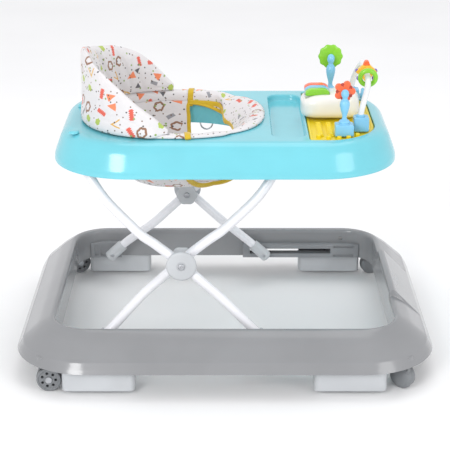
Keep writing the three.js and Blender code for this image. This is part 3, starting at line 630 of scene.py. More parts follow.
class WalkerSizes(bpy.types.PropertyGroup):
    """Sizes of the visible pieces."""

    tube: length("Tube radius", "Outside radius of the frame tubes", 8.0)
    flare: length("Backrest flare", "How far the back leans out at its ridge", 8.0)
    puff: length("Padding swell", "Most that the padding may swell from its cut shape", 5.0)
    arch: length("Arch radius", "Radius of the toy arch's tube", 5.0)


class WalkerColours(bpy.types.PropertyGroup):
    """Colours of the walker's materials."""

    base: tint("Base ring", "The grey ABS of the base", "898A8C")
    tray: tint("Tray", "The blue ABS of the tray", "6FC6D3")
    tubes: tint("Frames", "The frames' white powder coat", "E9E9ED")
    pale: tint("Pale plastic", "Stoppers, feet and hub covers", "C0C3C6")
    castors: tint("Castors", "Castor hoods and wheels", "7C7F82")
    rails: tint("Rails", "Slide rails and pivot brackets", "8B8D90")
    dark: tint("Dark plastic", "Latch pawls and bushings", "3A3B3F")
    zinc: tint("Zinc plate", "Bolts, axles and the strap hook", "C4C6CA")
    cloth: tint("Cloth", "The printed cloth's ground", "E3E0E1")
    binding: tint("Binding", "The yellow tape on the cloth's edges", "E2BE2E")
    toy_yellow: tint("Toy yellow", "The toy board", "EBD11A")
    toy_blue: tint("Toy blue", "Stands, blocks, a key and the knob", "7FC2E4")
    toy_orange: tint("Toy orange", "The flower and a key", "FF6B3D")
    toy_red: tint("Toy red", "The flower's backing", "B23A2A")
    toy_green: tint("Toy green", "The leaf disc, the ring and a key", "86CC2E")
    toy_purple: tint("Toy purple", "The star's knobs", "7A5CB8")
    toy_gold: tint("Toy gold", "The star", "F2BC3C")
    toy_white: tint("Toy white", "The sounding box", "EFEDE8")
    arch_white: tint("Arch white", "The toy arch's tube", "E6E8EA")


# ---------------------------------------------------------------- finishes

FINISHES = {}


def finish(name):
    """Each finish is made once, the first time that a piece asks for it."""
    if name not in FINISHES:
        maker, colour, settings = RECIPES[name]
        tone = tuple(getattr(bpy.context.scene.walker_colours, colour))
        FINISHES[name] = maker(name, tone, **settings)
    return FINISHES[name]


PALE, CASTOR = "grey-white moulded polypropylene", "castor polypropylene"
RAIL, DARK, ZINC = "rail nylon", "dark acetal", "zinc-plated steel"
SATIN = {"gloss": 0.4, "grain_mm": 0.9, "grain_depth": 0.00006}
RECIPES = {
    # base ring and tray: injection-moulded ABS from a polished tool, faint flow lines
    "grey moulded ABS": (moulded, "base", {"gloss": 0.2, "coat": 0.4, "flow": 0.02}),
    "blue moulded ABS": (moulded, "tray", {"gloss": 0.2, "coat": 0.3, "flow": 0.02}),
    # bent tubes: powder coat over steel
    "white powder-coated steel": (powder_coat, "tubes", {}),
    # stoppers, feet and hub covers: polypropylene with a spark-eroded satin skin
    PALE: (moulded, "pale", SATIN),
    # castors: nylon-filled polypropylene, satin
    CASTOR: (moulded, "castors", SATIN),
    # rails and pivot brackets: glass-filled nylon, dull
    RAIL: (moulded, "rails", {"gloss": 0.45, "grain_mm": 0.9, "grain_depth": 0.00008}),
    # latch pawls and bushings: acetal, low gloss
    DARK: (moulded, "dark", SATIN),
    # bolts, axles and the hook: zinc plate, bright and cloudy
    ZINC: (zinc_plate, "zinc", {}),
    # seat: printed polyester cloth and folded grosgrain tape
    "printed polyester": (printed_polyester, "cloth", {}),
    "yellow grosgrain binding": (binding_tape, "binding", {}),
    # toy board: ABS with a fine spark-eroded texture
    "yellow toy ABS": (moulded, "toy_yellow", {"gloss": 0.34, "grain_mm": 1.0, "grain_depth": 0.00008}),
    # toys: glossy injection-moulded ABS
    "blue toy ABS": (moulded, "toy_blue", {"gloss": 0.25, "coat": 0.2}),
    "orange toy ABS": (moulded, "toy_orange", {"gloss": 0.28, "coat": 0.2}),
    "dark red toy ABS": (moulded, "toy_red", {"gloss": 0.35}),
    "green toy ABS": (moulded, "toy_green", {"gloss": 0.28, "coat": 0.2}),
    "purple toy ABS": (moulded, "toy_purple", {"gloss": 0.3}),
    "star toy ABS": (moulded, "toy_gold", {"gloss": 0.3}),
    "off-white toy ABS": (moulded, "toy_white", {"gloss": 0.24, "coat": 0.3}),
    "white arch ABS": (moulded, "arch_white", {"gloss": 0.25, "coat": 0.2}),
}


def piece(name, solid, finish_name, body, slot_name, *nodes, sharp=38.0, uv=None, even=True):
    """Makes a piece in its finish, evens its shading, and ties it to a body and CAD nodes."""
    made = put(name, solid, finish(finish_name), sharp, uv)
    if even:
        even_shading(made)
    belongs(made, body, slot_name, *nodes)
    return made


# ---------------------------------------------------------------- base

BASE_HALF = np.array([352.0, 302.0])
BASE_CORNER = 125.0
BASE_FOOT = 45.0
PANEL_HALF_Y = 100.0
CASTOR_STEM = (301.0, 260.0)
SLOT = (49.0, 207.0, 59.0, 5.0)
CREASE_INSET = 10.0
STOPPER_X = {"front": 206, "rear": -208}
STOPPER_Y = 265
RAIL_Y = 236


def ring_walk(half, corner, extra_y=(), straight=14, arc=20):
    """Core points and outward normals round a rounded rectangle, starting at the front right.

    A point of the moulding is core + normal (corner - inset). extra_y adds stations on the front.
    """
    core = half - corner
    side_x = np.linspace(-1, 1, straight + 1)[1:-1] * core[0]
    front_y = np.unique(np.concatenate([np.linspace(-1, 1, straight + 1)[1:-1] * core[1], extra_y]))
    back_y = np.linspace(1, -1, straight + 1)[1:-1] * core[1]
    stations = [(core[0] * np.ones_like(front_y), front_y, np.zeros_like(front_y))]
    for start, (sx, sy) in zip((0, 90, 180, 270), ((1, 1), (-1, 1), (-1, -1), (1, -1))):
        angle = np.radians(start + np.linspace(0, 90, arc + 1))
        stations.append((sx * core[0] * np.ones_like(angle), sy * core[1] * np.ones_like(angle), angle))
        if start == 0:
            stations.append((side_x[::-1], core[1] * np.ones_like(side_x), np.full_like(side_x, math.pi / 2)))
        if start == 90:
            stations.append((-core[0] * np.ones_like(back_y), back_y, np.full_like(back_y, math.pi)))
        if start == 180:
            stations.append((side_x, -core[1] * np.ones_like(side_x), np.full_like(side_x, -math.pi / 2)))
    x, y, angle = (np.concatenate(part) for part in zip(*stations))
    return np.stack([x, y], 1), np.stack([np.cos(angle), np.sin(angle)], 1)


def base_ring():
    """The base: a moulded channel carried round a rounded rectangle.

    Its section is a list of [inset, height]. Across the front the section turns into that of a
    raised panel, over 4 mm at each end: section = (1 - w) plain + w panel.
    """
    under = [(64, BASE_FOOT), (64, 90), (60, 96), (54, 94), (42, 85.5), (13, 60), (3.2, 50), (2.4, BASE_FOOT)]
    plain = [(0, BASE_FOOT), (2.5, 50), (CREASE_INSET, 62), (15, 66), (40, 88), (54, 97), (60, 100)]
    plain += [(65, 98), (67, 92), (67, BASE_FOOT)]
    panel = [(0, BASE_FOOT), (2.5, 50), (CREASE_INSET, 62), (13.5, 65.6), (45, 97.6), (56, 108.6)]
    panel += [(61, 109.4), (65.6, 108), (67, 101), (67, BASE_FOOT)]
    sharpness = [0, 3, 1.2, 1.5, 12, 8, 5, 3, 3, 0]
    hidden = rounded(under, 1.5, 2)
    sections = [np.vstack([rounded(shape, sharpness), hidden]) for shape in (plain, panel)]
    steps = [s * (PANEL_HALF_Y + d) for s in (-1, 1) for d in (-2.4, -1.6, -0.8, 0.0, 0.8, 1.6, 2.4)]
    core, normal = ring_walk(BASE_HALF, BASE_CORNER, extra_y=steps)
    on_front = normal[:, 0] > 0.999
    weight = smoothstep((PANEL_HALF_Y + 2 - np.abs(core[:, 1])) / 4) * on_front
    inset = sections[0][None, :, 0] * (1 - weight[:, None]) + sections[1][None, :, 0] * weight[:, None]
    height = sections[0][None, :, 1] * (1 - weight[:, None]) + sections[1][None, :, 1] * weight[:, None]
    plan = core[:, None] + normal[:, None] * (BASE_CORNER - inset)[..., None]
    return hoop(np.concatenate([plan, height[..., None]], -1))


CASTOR_TRAIL = 10.5
WHEEL_RADIUS = 20.5
WHEEL_WIDTH = 11.0
CASTOR_TURN = {"rear_r": 0, "front_r": 139, "rear_l": 24, "front_l": 200}
# the hood's outside radius, and the circle of seven holes through the wheel
HOOD_RADIUS = 21.6
WHEEL_HOLES = {"count": 7, "ring": 11.5, "radius": 2.5}


def castor_hood():
    """Swivel axis at the origin, wheel trailing to +X with its open side towards -Y."""
    x, z = CASTOR_TRAIL, WHEEL_RADIUS
    cover = [(0, 9.8), (10, 9.6), (18, 7.2), (HOOD_RADIUS, 3.2), (HOOD_RADIUS, 0.5), (0, 0.5)]
    disc = turned(rounded(cover, [0, 6, 5, 3, 0.4, 0]), (x, 0, z), (0, 1, 0), 48)
    angle = np.radians(np.linspace(26, 146, 34))
    middle = [x + HOOD_RADIUS * np.cos(angle), 0 * angle, z + HOOD_RADIUS * np.sin(angle)]
    middle = np.stack(middle, 1)
    wall = rounded_loop([(-0.6, -10.8), (0.7, -10.8), (0.7, 1.5), (-0.6, 1.5)], 0.5, 3)
    radial = np.stack([np.cos(angle), 0 * angle, np.sin(angle)], 1)
    arch = swept(middle, wall * [1, -1], radial)
    neck = block((-7, 0.6, 29), (7, 8.2, 45.6), 1.6)
    collar = turned(rounded([(0, 41.6), (7.4, 41.6), (7.4, 45.6), (0, 45.6)], 0.6), sides=32)
    stem = turned(rounded([(0, 44), (5, 44), (5, 54.3), (0, 54.3)], 0.8), sides=32)
    return disc, arch, neck, collar, stem


def castor_wheel():
    """The wheel round its axle: a tread with rounded shoulders, a dished web and a hub."""
    half, r = WHEEL_WIDTH / 2, WHEEL_RADIUS
    tread = [(2.7, -half), (6.2, -half), (6.6, -half + 1.2), (r - 4, -half + 1.2), (r - 3.4, -half)]
    tread += [(r - 1, -half), (r, -half + 1.6), (r, half - 1.6), (r - 1, half), (2.7, half)]
    loop = rounded_loop(tread, 0.7, 3)
    return turned(loop, (CASTOR_TRAIL, -half, r), (0, 1, 0), 64, bored=True)


class WALKER_OT_base(bpy.types.Operator):
    """Builds the base ring, its castor sockets and the four stopper blocks."""

    bl_idname = "walker.base"
    bl_label = "Base ring"

    def execute(self, context):
        grey = finish("grey moulded ABS")
        base = put("base_ring", base_ring(), grey, 34)
        x0, x1, z, half = SLOT
        cutters = []
        for _, side in SIDES:
            y = RAIL_Y * side
            cutters.append(block((x0, y - 4, z - half), (x1, y + 4, z + half), 0.6, 0.6))
            hole = turned([(0, -5), (4.2, -5), (4.2, 5), (0, 5)], (x1 + 20, y, z + 22), (0, 1, 0), 24)
            cutters.append(hole)
        carve(base, cutters, sharp=34)
        even_shading(base)
        belongs(base, "base", "grey_shell", "base_shell")
        sockets = []
        for sx in (-1, 1):
            for sy in (-1, 1):
                wall = [(5.4, 47), (9, 47), (9, 60), (0.1, 60), (0.1, 56), (5.4, 56)]
                place = (sx * CASTOR_STEM[0], sy * CASTOR_STEM[1], 0)
                sockets.append(turned(rounded_loop(wall, 0.4, 2), place, sides=32, bored=True))
        belongs(put("castor_sockets", together(*sockets), grey), "base", "grey_shell")
        for end, x in STOPPER_X.items():
            for tag, side in SIDES:
                outline = rounded_rectangle(60, 20, 9, 12)
                shape = moved(slab(outline, 6, 50, 2.6, 6), (x, side * STOPPER_Y, 0))
                name = f"stopper_{end}_{tag}"
                piece(f"{name}_block", shape, PALE, "base", "white_plastic", name)
        for tag, _ in SIDES:
            dress(f"slide_rail_{tag}", finish(RAIL))
            dress(f"pivot_bracket_{tag}", finish(RAIL))
            dress(f"fold_catch_{tag}", finish(DARK))
            dress(f"slider_bushing_{tag}", finish(DARK), 0.3)
        return {"FINISHED"}


class WALKER_OT_castors(bpy.types.Operator):
    """Builds the four castors: hood, wheel with seven holes, and axle."""

    bl_idname = "walker.castors"
    bl_label = "Castors"

    def execute(self, context):
        plastic = finish(CASTOR)
        for end, sx in (("front", 1), ("rear", -1)):
            for tag, side in SIDES:
                place = (sx * CASTOR_STEM[0], side * CASTOR_STEM[1], 0)
                turn = CASTOR_TURN[f"{end}_{tag}"]
                hood = together(*(moved(solid, place, turn) for solid in castor_hood()))
                body, hidden = f"castor_{end}_{tag}", f"castor_hood_{end}_{tag}"
                piece(f"{body}_hood", hood, CASTOR, body, "castor_grey", hidden, even=False)
                holes = []
                radius = WHEEL_HOLES["radius"]
                for k in range(WHEEL_HOLES["count"]):
                    angle = TURN * k / WHEEL_HOLES["count"]
                    x = CASTOR_TRAIL + WHEEL_HOLES["ring"] * math.cos(angle)
                    z = WHEEL_RADIUS + WHEEL_HOLES["ring"] * math.sin(angle)
                    drill = [(0, -14), (radius, -14), (radius, 3), (0, 3)]
                    drill = turned(drill, (x, 0, z), (0, 1, 0), 20)
                    holes.append(moved(drill, place, turn))
                wheel = put(f"castor_{end}_{tag}_wheel", moved(castor_wheel(), place, turn), plastic)
                carve(wheel, holes)
                even_shading(wheel)
                belongs(wheel, f"wheel_{end}_{tag}", "castor_grey", f"castor_wheel_{end}_{tag}")
                dress(f"castor_axle_{end}_{tag}", finish(ZINC), 0.25)
        return {"FINISHED"}


# ---------------------------------------------------------------- crossed frames

HUB = (-72.0, 195.0)
REAR_PIVOT = (-219.0, 59.0)
FRONT_PIN = (75.0, 59.0)
FOOT_Y = 207.0
CROSSBAR_END_Y = 142.0
BEND_RADIUS = 25.0
CROSSBAR_Z = 366.0
# Y of the hub covers' inner faces, outside and inside the two tubes
HUB_FACES = (200.9, 166.1)
# body, lower end, Y at the hub, X of the crossbar, radius of the foot's pin, Y of the pin's end
FRAMES = (
    ("inner_frame", REAR_PIVOT, 174.5, 106.0, 4.0, 234.0),
    ("outer_frame", FRONT_PIN, 192.5, -250.0, 2.8, 233.0),
)


def frame_line(foot, hub_y, crossbar_x):
    """Centreline of a U-shaped frame: up one leg, past the hub, across, and down the other leg.

    Up to the hub a point is foot + s (hub - foot); above it the leg leans in to the crossbar.
    """
    towards = math.copysign(1, HUB[0] - foot[0])
    run = np.array([HUB[0] - foot[0], HUB[1] - foot[1]])
    size = np.linalg.norm(run)

    def along(s, y):
        return (foot[0] + run[0] * s / size, y, foot[1] + run[1] * s / size)

    def above(dx, dz, y):
        return (HUB[0] + towards * dx, y, HUB[1] + dz)

    def lean(t):
        return hub_y + (CROSSBAR_END_Y - hub_y) * t

    reach = abs(crossbar_x - HUB[0])
    inward = CROSSBAR_END_Y - BEND_RADIUS
    step = math.copysign(2, crossbar_x - HUB[0])
    half = [along(9, FOOT_Y), along(22, FOOT_Y), along(36, FOOT_Y), along(114, hub_y), along(150, hub_y)]
    half += [(HUB[0], hub_y, HUB[1]), above(45, 36.5, hub_y), above(64, 50, hub_y)]
    half += [above(81, 63.5, lean(0.16)), above(127, 106, lean(0.56)), above(154, 143, lean(0.85))]
    half += [above(reach - 9, 162, lean(0.99) - 3), (crossbar_x - step, inward + 11, CROSSBAR_Z - 2)]
    half += [(crossbar_x, inward, CROSSBAR_Z), (crossbar_x, inward - 20, CROSSBAR_Z)]
    half = np.array(half)
    return spline(np.vstack([half, (half * [1, -1, 1])[::-1]]), 220)


class WALKER_OT_frames(bpy.types.Operator):
    """Builds the two crossed tube frames, their feet, and the hub covers and bolts."""

    bl_idname = "walker.frames"
    bl_label = "Crossed frames"

    def execute(self, context):
        radius = context.scene.walker_sizes.tube / MM
        coat = "white powder-coated steel"
        for body, foot, hub_y, crossbar_x, pin, pin_end in FRAMES:
            run = np.array([HUB[0] - foot[0], 0.0, HUB[1] - foot[1]])
            run /= np.linalg.norm(run)
            square = (-run[2], 0.0, run[0])
            line = frame_line(foot, hub_y, crossbar_x)
            tube = swept(line, circle(radius), square)
            names = (f"{body}_bent_tube", body, f"{body}_tube")
            piece(names[0], tube, coat, names[1], "white_paint", names[2], sharp=60, even=False)
            for tag, side in SIDES:
                place = (foot[0], side * FOOT_Y, foot[1])
                sleeve = [(0, -12), (7, -12), (11, -8.5), (11, 20), (10.6, 28), (8.3, 28), (8.3, 9), (0, 9)]
                shell = turned(rounded(sleeve, [0, 3, 3, 3, 1, 0.5, 0.5, 0]), place, run, 40)
                reach = pin_end - FOOT_Y
                stub = [(0, 0), (pin + 3.2, 6), (pin + 3.2, 12.8), (pin, 13.2), (pin, reach), (0, reach)]
                post = turned(rounded(stub, 0.6), place, (0, side, 0), 32)
                screw = rounded([(0, 0), (3.6, 0), (3.6, 1.2), (2.6, 2), (1.2, 2), (1.0, 1), (0, 1)], 0.3)
                screw = turned(screw, (foot[0], side * (FOOT_Y - 10.4), foot[1]), (0, -side, 0), 24)
                name = f"{body}_foot_{tag}"
                piece(f"{name}_screw", screw, ZINC, body, "steel", even=False)
                shoe = together(shell, post)
                piece(f"{name}_moulding", shoe, PALE, body, "white_plastic", name, even=False)
        for tag, side in SIDES:
            outer_face, inner_face = HUB_FACES
            plate = [(0, 0), (25.4, 0), (25.4, 2.2), (22.8, 4.4), (8.2, 5.0), (7.4, 4.2), (0, 4.2)]
            plate = rounded(plate, [0, 0.4, 1, 2, 0.5, 0.4, 0])
            cover = turned(plate, (HUB[0], side * outer_face, HUB[1]), (0, side, 0), 64)
            hidden = ("outer_frame", "white_plastic", f"hub_outer_cover_{tag}")
            piece(f"hub_cover_outer_{tag}", cover, PALE, *hidden, even=False)
            angle = np.arange(96) * TURN / 96
            lobes = 19.2 + 0.8 * np.cos(6 * angle)
            outline = np.stack([HUB[0] + lobes * np.cos(angle), HUB[1] + lobes * np.sin(angle)], 1)
            start = inner_face - 4.5 if side > 0 else -inner_face
            knob = upright(slab(outline, 0, 4.5, 1.8, 5), start)
            hidden = ("inner_frame", "white_plastic", f"hub_inner_cover_{tag}")
            piece(f"hub_cover_inner_{tag}", knob, PALE, *hidden, even=False)
            heads = []
            for y, out in ((outer_face + 4.3, side), (inner_face - 4.6, -side)):
                head = [(0, 0), (5.5, 0), (5.5, 2.0), (4.2, 3.0), (1.8, 3.1), (1.6, 1.6), (0, 1.6)]
                head = rounded(head, 0.4)
                heads.append(turned(head, (HUB[0], side * y, HUB[1]), (0, out, 0), 32))
            hidden = ("outer_frame", "steel", f"hub_bolt_{tag}")
            piece(f"hub_bolt_{tag}_heads", together(*heads), ZINC, *hidden, even=False)
        return {"FINISHED"}


# ---------------------------------------------------------------- tray

TRAY_HALF = np.array([290.0, 195.0])
TRAY_CORNER = 135.0
TRAY_LIP = 343.0
TRAY_TOP = 398.0
SEAT_X = -86.0
SEAT_HALF = (145.0, 142.0)
SEAT_POWER = 2.3
BOARD_TOP = 396.0


def tray_profile(points, radii):
    """Rounded rectangles stacked by a rounded profile of [inset, height]."""
    profile = rounded(points, radii, 5)
    outlines = []
    for inset in profile[:, 0]:
        half = TRAY_HALF - inset
        outlines.append(rounded_rectangle(half[0], half[1], TRAY_CORNER - inset, 24))
    return stacked(outlines, profile[:, 1])


def seat_outline(grow, count=160):
    """The seat opening's superellipse, stepped outwards by grow; it starts at the front."""
    angle = np.arange(count) * TURN / count
    return superellipse(SEAT_HALF[0] + grow, SEAT_HALF[1] + grow, SEAT_POWER, angle, SEAT_X)


def trough_outline(grow):
    return rounded_rectangle(28 + grow, 135 + grow, 18 + grow, 12, (106, 0))


def board_outline(gap, count=30):
    """The toy board's recess: the tray's own front outline, stepped in, cut off behind and beside."""
    reach, core_x, core_y = 98 - gap, 155.0, 60.0
    side_y, rear_x = 154 - gap, 139 + gap
    top = math.asin((side_y - core_y) / reach)
    angle = np.linspace(-top, top, 2 * count)
    arc_y = np.sign(angle) * core_y + reach * np.sin(angle)
    front = np.stack([core_x + reach * np.cos(angle), arc_y], 1)
    corners = [front[-2], front[-1], (rear_x, side_y), (rear_x, -side_y), front[0], front[1]]
    behind = rounded(corners, [0, 10, 8, 8, 10, 0], 6)
    return np.vstack([front[1:-1], behind[1:-1]])


class WALKER_OT_tray(bpy.types.Operator):
    """Builds the tray shell with its trough, board recess and seat opening, and its fittings."""

    bl_idname = "walker.tray"
    bl_label = "Tray"

    def execute(self, context):
        blue = finish("blue moulded ABS")
        outside = [(0.4, TRAY_LIP), (0, 344), (0.5, 352), (3.5, 361), (12, 384), (18, 392), (25, 396.5)]
        outside += [(33, TRAY_TOP), (40, TRAY_TOP)]
        outer = tray_profile(outside, [0, 0.8, 6, 8, 8, 7, 7, 7, 0])
        inside = [(2.5, TRAY_LIP - 4), (3, 352), (6, 361), (14.5, 383), (20.5, 390.5), (33, 395.5)]
        hollow = tray_profile(inside, 5)
        shell = put("tray_moulding", outer, blue)
        carve(shell, [hollow])
        wall = stacked([seat_outline(2.5)] * 2, [TRAY_LIP + 1, TRAY_TOP - 1])
        trough = stacked([trough_outline(2.5)] * 2, [383.5, TRAY_TOP - 1])
        recess = stacked([board_outline(-2.5)] * 2, [387.5, TRAY_TOP - 1])
        carve(shell, [wall, trough, recess], "UNION")
        lip = [(0, 300), (0, 393), (0.4, 395), (1.3, 396.6), (2.6, 397.6), (4.4, 398.02), (4.4, 420)]
        mouth = stacked([seat_outline(grow) for grow, _ in lip], [z for _, z in lip])
        bowl = [(-7, 386), (-4, 386.4), (-1.6, 387.8), (-0.4, 390), (0, 393), (0.4, 395.6), (1.4, 397.2)]
        bowl += [(3.2, 398.02), (3.2, 420)]
        dish = stacked([trough_outline(grow) for grow, _ in bowl], [z for _, z in bowl])
        well = [(-0.8, 390), (0, 390.8), (0, 396.6), (0.5, 397.6), (1.3, 398.02), (1.3, 420)]
        seat = stacked([board_outline(-grow) for grow, _ in well], [z for _, z in well])
        carve(shell, [mouth, dish, seat], sharp=30)
        even_shading(shell)
        belongs(shell, "tray", "blue_shell", "tray_shell")
        for tag, side in SIDES:
            profile = rounded([(0, 0), (9, 0), (9, 2.4), (7.2, 4.6), (0, 5)], [0, 0.5, 2, 2, 0])
            x, y = -251, side * 84 - 31
            cap = put(f"tray_fastener_cap_{tag}", turned(profile, (x, y, TRAY_TOP + 0.3)), blue)
            belongs(cap, "tray", "blue_shell", f"tray_cap_{tag}")
            dress(f"front_track_{tag}", finish(PALE))
        dress("rear_crossbar_clamp", finish(DARK), 0.8)
        dress("seat_hook_ring", finish(ZINC), 0)
        return {"FINISHED"}


# ---------------------------------------------------------------- seat

RIM_STATIONS = 260
# the rim pad's inner edge, as a step outwards and a height: across the front, and beside the child
LIP_EDGE = (-44.6, 368.6)
FLAP_EDGE = (-11.2, 385.0)
LEG_REAR_X = -66.0
SLING_BOTTOM = 280.0


def seat_normals(outline):
    """Unit vectors pointing out of a closed outline that runs anticlockwise."""
    step = np.roll(outline, -1, 0) - np.roll(outline, 1, 0)
    normal = np.stack([step[:, 1], -step[:, 0]], 1)
    return normal / np.linalg.norm(normal, axis=1)[:, None]


def arc_length(outline):
    return np.concatenate([[0], np.cumsum(np.linalg.norm(np.diff(outline, axis=0), axis=1))])


def puckers(along, across, depth):
    """Small gathers of sewn cloth: a sum of waves whose lengths don't divide one another."""
    wave = np.sin(along / 9.1 + 1.7 * np.sin(along / 31)) + 0.6 * np.sin(along / 5.3 + across / 11)
    return depth * (wave + 0.5 * np.sin(along / 17.9 - across / 7)) / 2


def rim_pad():
    """The padded roll over the opening's edge, with a wide lip sloping inwards at the front.

    The section is a closed loop of [step outwards, height]. Behind, it hangs 14 mm down inside the
    opening; towards the front, weight w lays it inwards as a crescent 45 mm wide:
    section = (1 - w) roll + w crescent.
    """
    roll = [(-3.6, 398.8), (3, 398.7), (9.6, 398.8), (12.4, 400.8), (9.8, 403.6), (3, 404.7), (-4, 404.4)]
    roll += [(-8.4, 401), (-9.8, 395), (-9.4, 388), (-8.0, 384.6), (-6.2, 386), (-5.2, 392)]
    crescent = [(-3.2, 398.2), (2, 398.7), (8.0, 398.8), (10.6, 400.8), (7, 403.6), (-2, 404.4), (-12, 401.4)]
    crescent += [(-24, 393), (-36, 381), (-45, 370.4), (-44, 367.2), (-34, 372.6), (-18, 386)]
    loops = []
    for shape in (roll, crescent):
        flat = np.column_stack([np.array(shape, float), np.zeros(len(shape))])
        loops.append(spline(flat, 44, closed=True)[:, :2])
    outline = seat_outline(0, RIM_STATIONS)
    normal = seat_normals(outline)
    weight = smoothstep((outline[:, 0] + 12) / 52)[:, None]
    grow = loops[0][None, :, 0] * (1 - weight) + loops[1][None, :, 0] * weight
    height = loops[0][None, :, 1] * (1 - weight) + loops[1][None, :, 1] * weight
    along = arc_length(outline)[:, None]
    run = np.diff(np.stack([grow, height]), axis=2, prepend=0)
    run[:, :, 0] = 0
    across = np.cumsum(np.hypot(*run), axis=1)
    swell = puckers(along, across, 0.5) * (height > 399.5)
    centre = grow.mean(1, keepdims=True), height.mean(1, keepdims=True)
    size = np.hypot(grow - centre[0], height - centre[1])
    grow = grow + swell * (grow - centre[0]) / size
    height = height + swell * (height - centre[1]) / size
    plan = outline[:, None] + normal[:, None] * grow[..., None]
    uv = np.stack(np.broadcast_arrays(along, across), -1).reshape(-1, 2) * MM
    return hoop(np.concatenate([plan, height[..., None]], -1)), uv


RIDGE_AT = [-240, -228, -216, -204, -190, -179, -168, -152, -140, -130, -120, -111, -103, -97, -92]
RIDGE_RIGHT = [520, 520, 514, 505, 494, 484, 473, 458, 447, 440, 433, 424, 414, 409, 408]
RIDGE_LEFT = [504, 504, 504, 502, 500, 497, 494, 488, 483, 478, 470, 459, 447, 431, 409]


def backrest_height(outline):
    """Height of the backrest's ridge: the right wing's and the left wing's, blended behind."""
    right = np.interp(outline[:, 0], RIDGE_AT, RIDGE_RIGHT)
    left = np.interp(outline[:, 0], RIDGE_AT, RIDGE_LEFT)
    share = smoothstep((outline[:, 1] + 75) / 150)
    crown = 9 * np.clip(1 - (outline[:, 1] / 90) ** 2, 0, 1)
    return right * (1 - share) + left * share + crown * (outline[:, 0] < -150)


def backrest(sizes):
    """The padded back, wrapped round the rear of the seat opening from one wing to the other.

    At each station the section is a closed loop of [step outwards, share of height, drop]: its
    foot hangs over the rim by the drop and its ridge is narrow and rounded. The right wing stands
    higher than the left, and the back leans outwards as it rises.
    """
    dense = superellipse(SEAT_HALF[0], SEAT_HALF[1], SEAT_POWER, np.linspace(0, TURN, 4001), SEAT_X)
    dense = dense[dense[:, 0] < -93.5]
    along = arc_length(dense)
    wanted = np.linspace(0, along[-1], 190)
    outline = np.stack([np.interp(wanted, along, dense[:, k]) for k in range(2)], 1)
    step = np.gradient(outline, axis=0)
    normal = np.stack([step[:, 1], -step[:, 0]], 1)
    normal /= np.linalg.norm(normal, axis=1)[:, None]
    loop = [(-8, 0.0, 0), (2, -0.005, 0), (11.4, 0.0, 0), (13.6, 0, 2), (14, 0, 4.6), (15.2, 0, 6)]
    loop += [(16.8, 0.02, 5), (16.6, 0.09, 1), (13.8, 0.2, 0), (10.8, 0.36, 0), (9.0, 0.55, 0)]
    loop += [(7.8, 0.72, 0), (6.2, 0.88, 0), (3.4, 0.975, 0), (0, 1.0, 0), (-3.4, 0.975, 0)]
    loop += [(-6.6, 0.88, 0), (-8.8, 0.7, 0)]
    loop += [(-10, 0.5, 0), (-11, 0.3, 0), (-11, 0.14, 0), (-10.2, 0.04, 0)]
    section = spline(np.array(loop) * [1, 100, 1], 80, closed=True) * [1, 0.01, 1]
    top = spline(np.column_stack([wanted, backrest_height(outline), 0 * wanted])[::6], 190)[:, 1]
    foot = 405.8
    tall = (top - foot)[:, None]
    ends = smoothstep(np.minimum(wanted, along[-1] - wanted) / 26)[:, None]
    thick = section[None, :, 0] * (0.35 + 0.65 * ends)
    up = foot + section[None, :, 1] * np.maximum(tall, 3) - section[None, :, 2] * ends
    across = np.cumsum(np.abs(np.diff(section[:, 1], prepend=0)))[None, :] * tall
    crease = puckers(wanted[:, None], across, 0.9) * np.clip((up - foot) / 12, 0, 1)
    rear = smoothstep((-150 - outline[:, 0]) / 70)[:, None]
    flare = sizes.flare / MM * rear * np.clip((up - foot) / 105, 0, 1) ** 1.3
    thick = thick + np.sign(thick) * crease + flare
    plan = outline[:, None] + normal[:, None] * thick[..., None]
    uv = np.stack([np.broadcast_to(wanted[:, None], up.shape), up], -1).reshape(-1, 2) * MM
    solid = skin(np.concatenate([plan, up[..., None]], -1))
    return solid, np.vstack([uv, uv[:1], uv[-1:]])


def bowl_halves(z):
    """Half sizes and middle of the sling at a height, from the rim down to its flat bottom."""
    at = [SLING_BOTTOM, 283.0, 287.0, 295.0, 308.0, 325.0, 345.0, 365.0, 386.0]
    half_x = [52.0, 72.0, 81.0, 90.0, 104.0, 119.0, 130.0, 135.0, 136.0]
    half_y = [36.0, 54.0, 62.0, 73.0, 90.0, 108.0, 122.0, 130.0, 133.0]
    middle = [-81.0, -81.0, -81.0, -81.0, -82.0, -84.0, -85.0, -86.0, -86.0]
    return [np.interp(z, at, values) for values in (half_x, half_y, middle)]


def sling_bowl():
    """The hung cloth: a bowl of superellipses that narrows as it goes down, 1.6 mm thick."""
    drop = np.concatenate([np.linspace(0, 0.82, 40), np.linspace(0.82, 1, 22)[1:]])
    z = 386 - (386 - SLING_BOTTOM) * drop
    angle = np.arange(180) * TURN / 180
    rows, inner = [], []
    for height in z:
        half_x, half_y, middle = bowl_halves(height)
        for wall, into in ((0.0, rows), (1.6, inner)):
            xy = superellipse(half_x - wall, half_y - wall, SEAT_POWER, angle, middle)
            fold = 1 + 0.006 * np.sin(7 * angle + 3) * math.sin(min(1, (386 - height) / 60) * math.pi / 2)
            xy = (xy - [middle, 0]) * fold[:, None] + [middle, 0]
            into.append(np.column_stack([xy, np.full(len(xy), height + (1.6 if wall else 0))]))
    middle = np.array([-81.0, 0, 0])
    for layer in (rows, inner):
        edge = layer[-1] - middle
        layer += [edge * [s, s, 1] + middle - [0, 0, 1.5 * (1 - s)] for s in (0.7, 0.4, 0.12)]
    grid = np.stack(inner[::-1] + rows)
    solid = skin(grid)
    size = np.linalg.norm(np.diff(grid, axis=0), axis=2).mean(1)
    depth = np.concatenate([[0], np.cumsum(size)])
    around = angle / TURN * 760
    uv = np.stack(np.broadcast_arrays(around[None, :], depth[:, None]), -1).reshape(-1, 2) * MM
    return solid, np.vstack([uv, uv[:1], uv[-1:]])


